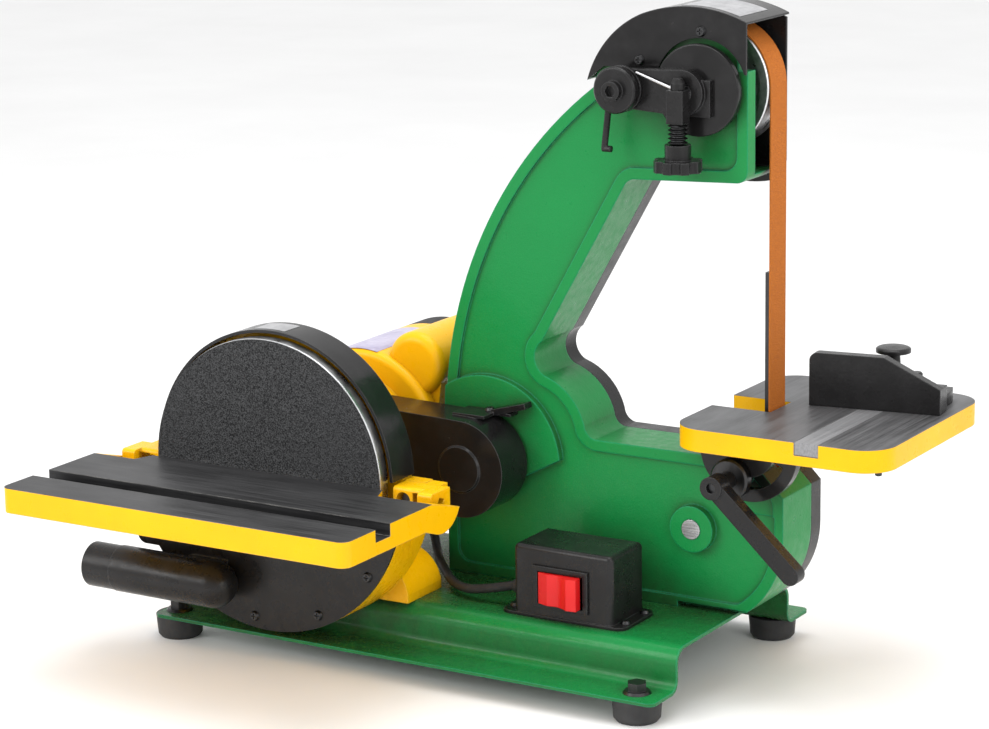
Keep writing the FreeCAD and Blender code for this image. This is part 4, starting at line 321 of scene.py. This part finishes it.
def abrasive(name, dark, light, grit_scale):
    """Cloth covered with grit: crowded grains, glued in place, with worn lighter patches."""
    n = Nodes(name)
    grains = n.cells(grit_scale)
    coarse = n.cells(grit_scale * 0.45)
    speckle = n.ramp(n.noise(grit_scale * 1.3, 2), 0.35, 0.65)
    colour = n.mix(speckle, dark, light)
    loaded = n.ramp(n.noise(16, 5, n.place((1, 1, 0.25))), 0.45, 0.75, 0.0, 0.45)
    colour = n.mix(loaded, colour, tuple(0.55 * (a + b) for a, b in zip(dark, light)))
    n.shade(Base_Color=colour, Roughness=n.ramp(speckle, 0.0, 1.0, 0.62, 0.9))
    n.shade(Specular_IOR_Level=0.12)
    n.relief(0.7, 0.0005, grains, n.math("MULTIPLY", coarse, 0.6), radius=0.0003)
    return n.material


def rubber(name, colour=(0.018, 0.018, 0.019), scale=600):
    """Moulded rubber with a fine matt skin and pale dust."""
    n = Nodes(name)
    dust = n.ramp(n.noise(28, 5), 0.45, 0.8, 0.0, 0.3)
    n.shade(Base_Color=n.mix(dust, colour, (0.09, 0.087, 0.082)))
    n.shade(Roughness=n.ramp(n.noise(90, 4), 0.3, 0.7, 0.5, 0.75))
    n.relief(0.2, 0.0004, n.noise(scale, 3), radius=0.0008)
    return n.material


def red_plastic():
    """Glossy red plastic, with painted shade darkening its corners."""
    n = Nodes("rocker_red_plastic")
    # Painted shade: corners darkened to deep red by ambient occlusion.
    red_corner_shade = n.ramp(n.crevice(0.006), 0.3, 0.9, 0.5, 0.0)
    shade = n.mix(n.ramp(n.noise(40, 4), 0.4, 0.7, 0.0, 0.2), (0.74, 0.010, 0.012), (0.86, 0.04, 0.03))
    n.shade(Base_Color=n.mix(red_corner_shade, shade, (0.3, 0.004, 0.004)))
    n.shade(Roughness=n.ramp(n.noise(130, 4), 0.3, 0.7, 0.16, 0.28))
    n.shade(Specular_IOR_Level=0.25, Coat_Weight=0.15, Coat_Roughness=0.08)
    n.relief(0.06, 0.0003, n.noise(300, 2), radius=0.0012)
    return n.material


def laminations():
    """Stacked steel sheets seen edge on."""
    n = Nodes("motor_laminations")
    bands = n.noise(1.0, 2, n.place((30, 1800, 30)))
    n.shade(Base_Color=n.mix(n.ramp(bands, 0.3, 0.7), (0.12, 0.11, 0.10), (0.4, 0.38, 0.36)), Metallic=0.9)
    n.shade(Roughness=n.ramp(n.noise(60, 4), 0.3, 0.7, 0.35, 0.6))
    n.relief(0.4, 0.0004, bands, radius=0.0005)
    return n.material


def blank_label(name, colour, tint):
    """A plain printed label: faded paper or foil with no lettering."""
    n = Nodes(name)
    faded = n.ramp(n.noise(50, 5), 0.4, 0.75, 0.0, 0.5)
    bands = n.ramp(n.noise(1.0, 2, n.place((40, 40, 700))), 0.5, 0.62, 0.0, 0.35)
    colour = n.mix(faded, colour, tint)
    n.shade(Base_Color=n.mix(bands, colour, tuple(0.8 * c for c in tint)))
    n.shade(Roughness=n.ramp(n.noise(200, 3), 0.3, 0.7, 0.28, 0.45), Coat_Weight=0.1)
    n.relief(0.1, 0.0002, n.noise(260, 3), radius=0.0003)
    return n.material


def floor_material():
    """Pale matt floor with a faint unevenness."""
    n = Nodes("pale_floor")
    n.shade(Base_Color=n.mix(n.ramp(n.noise(3, 4), 0.3, 0.7), (0.86, 0.86, 0.86), (0.9, 0.9, 0.9)))
    n.shade(Roughness=n.ramp(n.noise(30, 3), 0.3, 0.7, 0.6, 0.75))
    return n.material


def paint_nodes():
    """Give every CAD node its material, and return the three that the extra pieces share."""
    trunnion_x = (TRUNNION_LOW[0] + TRUNNION_HIGH[0]) / 2
    behind_trunnion = (trunnion_x, TRUNNION_HIGH[1], TRUNNION_HIGH[2])
    # The casting carries a painted shadow behind the table's trunnion.
    casting = enamel("casting_green_enamel", GREEN, GREEN_PAINTED_SHADE, GREEN_EDGE, grain=0.35,
                     roughness=0.34, radius=0.002, reach=0.035, shadow_spot=(behind_trunnion, 0.042))
    # The base's long reach paints shade widely over its deck, round everything standing on it.
    sheet = enamel("sheet_green_enamel", GREEN, GREEN_PAINTED_SHADE, GREEN_EDGE, grain=0.18,
                   roughness=0.26, radius=0.0012, reach=0.11)
    yellow = enamel("yellow_enamel", YELLOW, YELLOW_DARK, YELLOW_EDGE, grain=0.22,
                    roughness=0.28, radius=0.0015)
    motor = enamel("motor_yellow_enamel", MOTOR_YELLOW, YELLOW_DARK, YELLOW_EDGE, grain=0.22,
                   roughness=0.32)
    sheet_black = gloss_black("gloss_black_sheet", roughness=0.16, grain=0.08, scale=300, radius=0.0012)
    moulded = gloss_black("moulded_black_plastic", roughness=0.26, grain=0.16, scale=520, radius=0.0012)
    cast_black = gloss_black("black_painted_casting", roughness=0.24, grain=0.3, scale=240, radius=0.0016)
    matte = gloss_black("matte_black_plastic", roughness=0.5, grain=0.2, scale=520, radius=0.001)
    dark_steel = brushed("black_oxide_steel", (0.07, 0.07, 0.072), (300, 300, 60), 0.34)
    bright = brushed("ground_steel", STEEL, (60, 60, 900), 0.24)
    bar = brushed("ground_bar_steel", (0.32, 0.32, 0.33), (900, 12, 400), 0.42, 0.35)
    aluminium = turned_metal("turned_aluminium", (0.78, 0.79, 0.8))
    belt_grit = abrasive("abrasive_cloth_belt", (0.28, 0.07, 0.010), (0.66, 0.21, 0.035), 1500)
    disc_grit = abrasive("abrasive_cloth_disc", (0.005, 0.005, 0.0055), (0.082, 0.083, 0.085), 850)
    foot = rubber("foot_rubber")
    finishes = {
        casting: ["arm_casting"],
        sheet: ["base_plate"],
        yellow: ["disc_housing", "trunnion_bracket_left", "trunnion_bracket_right"],
        motor: ["motor_body", "motor_end_shield", "capacitor_cover"],
        sheet_black: ["top_guard", "drive_guard", "disc_guard_ring", "hub_plate", "table_trunnion"],
        moulded: ["rear_cover", "dust_cover", "switch_box", "switch_bezel", "tracking_knob", "mitre_knob"],
        cast_black: ["mitre_head", "tension_pivot", "tension_arm", "tracking_block", "table_lever"],
        matte: ["motor_fan_cover", "cooling_fan"],
        dark_steel: ["platen", "platen_bracket", "frame_bolts", "housing_bolts", "panel_screws",
                     "table_clamp_bolt", "tilt_lock_left", "tilt_lock_right", "tracking_spring"],
        bright: ["motor_shaft", "drive_shaft", "lower_axle", "upper_axle", "upper_wheel_bearings",
                 "lower_wheel_bearings", "shaft_bearings"],
        bar: ["mitre_bar"],
        aluminium: ["sanding_disc", "upper_wheel", "lower_wheel", "drive_wheel", "motor_pulley",
                    "driven_pulley"],
        belt_grit: ["abrasive_belt"],
        disc_grit: ["abrasive_disc"],
        foot: ["rubber_feet", "cable_glands", "drive_belt"],
        red_plastic(): ["switch_rocker"],
        laminations(): ["motor_stator", "motor_rotor"],
        machined_table("belt_table_iron", TABLE_HIGH[2], "Y", BELT_SLOT, (0.06, 0.06, 0.062),
                       (0.18, 0.18, 0.185)): ["belt_table"],
        machined_table("disc_table_iron", DISC_TABLE_HIGH[2], "X", DISC_SLOT, (0.022, 0.022, 0.023),
                       (0.085, 0.085, 0.087)): ["disc_table"],
    }
    for material, names in finishes.items():
        for name in names:
            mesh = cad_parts[name].data
            mesh.materials.clear()
            mesh.materials.append(material)
    return dark_steel, bright, cast_black


# ---------------------------------------------------------------- pieces

def motor_cable():
    """The cable from the motor to the switch box."""
    curve = bpy.data.curves.new("motor_cable_line", "CURVE")
    curve.dimensions = "3D"
    curve.resolution_u = 24
    spline = curve.splines.new("NURBS")
    spline.points.add(len(CABLE_ROUTE) - 1)
    for point, spot in zip(spline.points, CABLE_ROUTE):
        point.co = spot + (1.0,)
    spline.order_u = 3
    spline.use_endpoint_u = True
    curve.bevel_depth = CABLE_RADIUS
    curve.bevel_resolution = 8
    curve.use_fill_caps = True
    curve.materials.append(rubber("cable_sheath", (0.010, 0.010, 0.011), 300))
    cable = bpy.data.objects.new("motor_cable_sheath", curve)
    bpy.context.collection.objects.link(cable)
    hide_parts("motor_cable")
    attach(cable, "frame")


def add_camera():
    azimuth = math.radians(CAMERA_AZIMUTH)
    elevation = math.radians(CAMERA_ELEVATION)
    roll = math.radians(CAMERA_ROLL)
    forward = Vector((
        -math.sin(azimuth) * math.cos(elevation),
        math.cos(azimuth) * math.cos(elevation),
        -math.sin(elevation),
    ))
    level = Vector((math.cos(azimuth), math.sin(azimuth), 0))
    upright = level.cross(forward)
    right = level * math.cos(roll) + upright * math.sin(roll)
    up = upright * math.cos(roll) - level * math.sin(roll)
    camera = bpy.data.objects.new("camera", bpy.data.cameras.new("camera"))
    camera.data.lens = LENS
    camera.data.sensor_width = SENSOR
    turn = Matrix((right, up, -forward)).transposed()
    camera.matrix_world = Matrix.Translation(CAMERA_PLACE) @ turn.to_4x4()
    bpy.context.collection.objects.link(camera)
    bpy.context.scene.camera = camera


def area_light(name, spot, target, size, power):
    light = bpy.data.lights.new(name, "AREA")
    light.shape = "RECTANGLE"
    light.size, light.size_y = size
    light.energy = power
    lamp = bpy.data.objects.new(name, light)
    aim = (Vector(target) - Vector(spot)).to_track_quat("-Z", "Y")
    lamp.matrix_world = Matrix.Translation(spot) @ aim.to_matrix().to_4x4()
    bpy.context.collection.objects.link(lamp)


def add_studio():
    """Plain pale floor, white surroundings, and broad soft lights overhead and at the two front corners."""
    world = bpy.data.worlds.new("studio")
    world.use_nodes = True
    world.node_tree.nodes["Background"].inputs["Color"].default_value = (1, 1, 1, 1)
    world.node_tree.nodes["Background"].inputs["Strength"].default_value = 1.0
    bpy.context.scene.world = world
    bpy.context.scene.view_settings.view_transform = "Standard"
    area_light("overhead", (0.1, 0.1, 1.9), (0, 0, 0.2), (1.6, 1.2), 20)
    area_light("front_left", (-1.3, -1.8, 1.3), (0, 0, 0.25), (1.1, 1.3), 24)
    area_light("front_right", (2.0, -0.7, 1.1), (0.1, 0, 0.25), (0.9, 1.3), 12)
    mesh = bpy.data.meshes.new("floor")
    reach = 6.0
    corners = [(-reach, -reach, 0), (reach, -reach, 0), (reach, reach, 0), (-reach, reach, 0)]
    mesh.from_pydata(corners, [], [(0, 1, 2, 3)])
    mesh.materials.append(floor_material())
    floor = bpy.data.objects.new("floor", mesh)
    bpy.context.collection.objects.link(floor)


def disc_mesh(name, centre, radius, thickness, axis, segments, bevel):
    """A short round bar along an axis, with bevelled rims."""
    rings = [
        (radius - bevel, 0.0), (radius, bevel), (radius, thickness - bevel), (radius - bevel, thickness),
    ]
    direction = Vector(axis).normalized()
    side = direction.orthogonal().normalized()
    other = direction.cross(side)
    points = []
    for ring_radius, along in rings:
        for number in range(segments):
            angle = 2 * math.pi * number / segments
            flat = side * math.cos(angle) + other * math.sin(angle)
            points.append(Vector(centre) + direction * along + flat * ring_radius)
    faces = [tuple(range(segments))[::-1], tuple(range(3 * segments, 4 * segments))]
    for ring in range(3):
        for number in range(segments):
            after = (number + 1) % segments
            faces.append((
                ring * segments + number, ring * segments + after,
                (ring + 1) * segments + after, (ring + 1) * segments + number,
            ))
    return mesh_piece(name, points, faces)


def mesh_piece(name, points, faces):
    mesh = bpy.data.meshes.new(name)
    mesh.from_pydata([tuple(point) for point in points], [], faces)
    piece = bpy.data.objects.new(name, mesh)
    bpy.context.collection.objects.link(piece)
    return piece


def table_stop(material):
    """Set screw under the belt table's near right corner, the stop for its level position."""
    from_right, from_near, below = 0.0125, 0.0227, 0.006
    radius, tall, chamfer = 0.0025, 0.021, 0.0005
    spot = (TABLE_HIGH[0] - from_right, TABLE_LOW[1] + from_near, TABLE_LOW[2] - below)
    stop = disc_mesh("table_stop_screw", spot, radius, tall, (0, 0, 1), 24, chamfer)
    stop.data.materials.append(material)
    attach(stop, "belt_table_group")


def curved_label(name, surface, sweep, span, material):
    """A blank label wrapped on a round surface.

    sweep is its two angles in degrees, and span is its near and far edge in depth.
    """
    across, up, radius = surface
    steps = 24
    sunk, proud = -0.0001, 0.00025
    points = []
    for thickness in (sunk, proud):
        for number in range(steps + 1):
            angle = math.radians(sweep[0] + (sweep[1] - sweep[0]) * number / steps)
            reach = radius + thickness
            for depth in span:
                points.append((across + reach * math.cos(angle), depth, up + reach * math.sin(angle)))
    above = 2 * (steps + 1)
    faces = [(above, above + 1, 1, 0)]
    for number in range(steps):
        a, b, c, d = 2 * number, 2 * number + 1, 2 * number + 3, 2 * number + 2
        faces.append((a, b, c, d))
        faces.append((above + d, above + c, above + b, above + a))
        faces.append((above + a, a, d, above + d))
        faces.append((b, above + b, above + c, c))
    last = 2 * steps
    faces.append((last, last + 1, above + last + 1, above + last))
    label = mesh_piece(name, points, faces)
    label.data.materials.append(material)
    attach(label, "frame")


def add_labels():
    """Blank plates where the machine carries its labels."""
    foil = blank_label("silver_foil_label", (0.34, 0.34, 0.35), (0.18, 0.18, 0.19))
    paper = blank_label("pale_paper_label", (0.45, 0.42, 0.55), (0.25, 0.22, 0.38))
    labels = [
        ("motor_label", MOTOR_ROUND, (78, 118), MOTOR_LOW[1], (0.010, 0.092), paper, "motor_yellow"),
        ("guard_ring_label", RING_ROUND, (84, 99), RING_LOW[1], (0.004, 0.024), foil, "sheet_black"),
        ("hood_label", HOOD_ROUND, (71, 95), HOOD_LOW[1], (0.006, 0.050), foil, "sheet_black"),
    ]
    for name, surface, sweep, front, (near, far), material, slot in labels:
        curved_label(name, surface, sweep, (front + near, front + far), material)


def wire(name, points, radius, material, body):
    """A bent rod through some points, with closed ends."""
    curve = bpy.data.curves.new(name, "CURVE")
    curve.dimensions = "3D"
    spline = curve.splines.new("POLY")
    spline.points.add(len(points) - 1)
    for point, spot in zip(spline.points, points):
        point.co = tuple(spot) + (1.0,)
    curve.bevel_depth = radius
    curve.bevel_resolution = 5
    curve.use_fill_caps = True
    curve.materials.append(material)
    piece = bpy.data.objects.new(name, curve)
    bpy.context.collection.objects.link(piece)
    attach(piece, body)


def spring_leg(material):
    """The long leg of the torsion spring, from the pivot's spool to the tracking block."""
    wire_radius = 0.0011
    depth = TRACK_HIGH[1] - 0.0025
    start = (SPOOL_HIGH[0] - 0.004, depth, SPOOL_HIGH[2] - 0.0045)
    end = (TRACK_LOW[0] + 0.003, depth, TRACK_HIGH[2] - 0.0005)
    wire("tension_spring_leg", [start, end], wire_radius, material, "tension_group")


def mitre_details(steel, black):
    """Clamp screw and stop on the mitre gauge's quadrant, behind the low end of its fence."""
    pivot_x = (BAR_LOW[0] + BAR_HIGH[0]) / 2
    pivot_y = (KNOB_LOW[1] + KNOB_HIGH[1]) / 2
    quadrant_top = HEAD_LOW[2] + 0.0088
    chamfer = 0.0011
    screw = (pivot_x + 0.024, pivot_y - 0.012)
    stop = (pivot_x + 0.033, pivot_y - 0.019)
    rounds = [
        ("mitre_screw_post", screw, 0.0, 0.0065, 0.012, black, "head_black"),
        ("mitre_screw_cap", screw, 0.0118, 0.0045, 0.005, steel, "dark_steel"),
        ("mitre_stop_post", stop, 0.0, 0.0048, 0.0085, black, "head_black"),
    ]
    for name, (across, depth), lift, radius, tall, material, slot in rounds:
        spot = (across, depth, quadrant_top + lift)
        piece = disc_mesh(name, spot, radius, tall, (0, 0, 1), 32, chamfer)
        piece.data.materials.append(material)
        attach(piece, "mitre_head_group")


add_camera()
motor_cable()
dark_steel, bright_steel, black_casting = paint_nodes()
table_stop(dark_steel)
spring_leg(bright_steel)
mitre_details(dark_steel, black_casting)
add_labels()
add_studio()
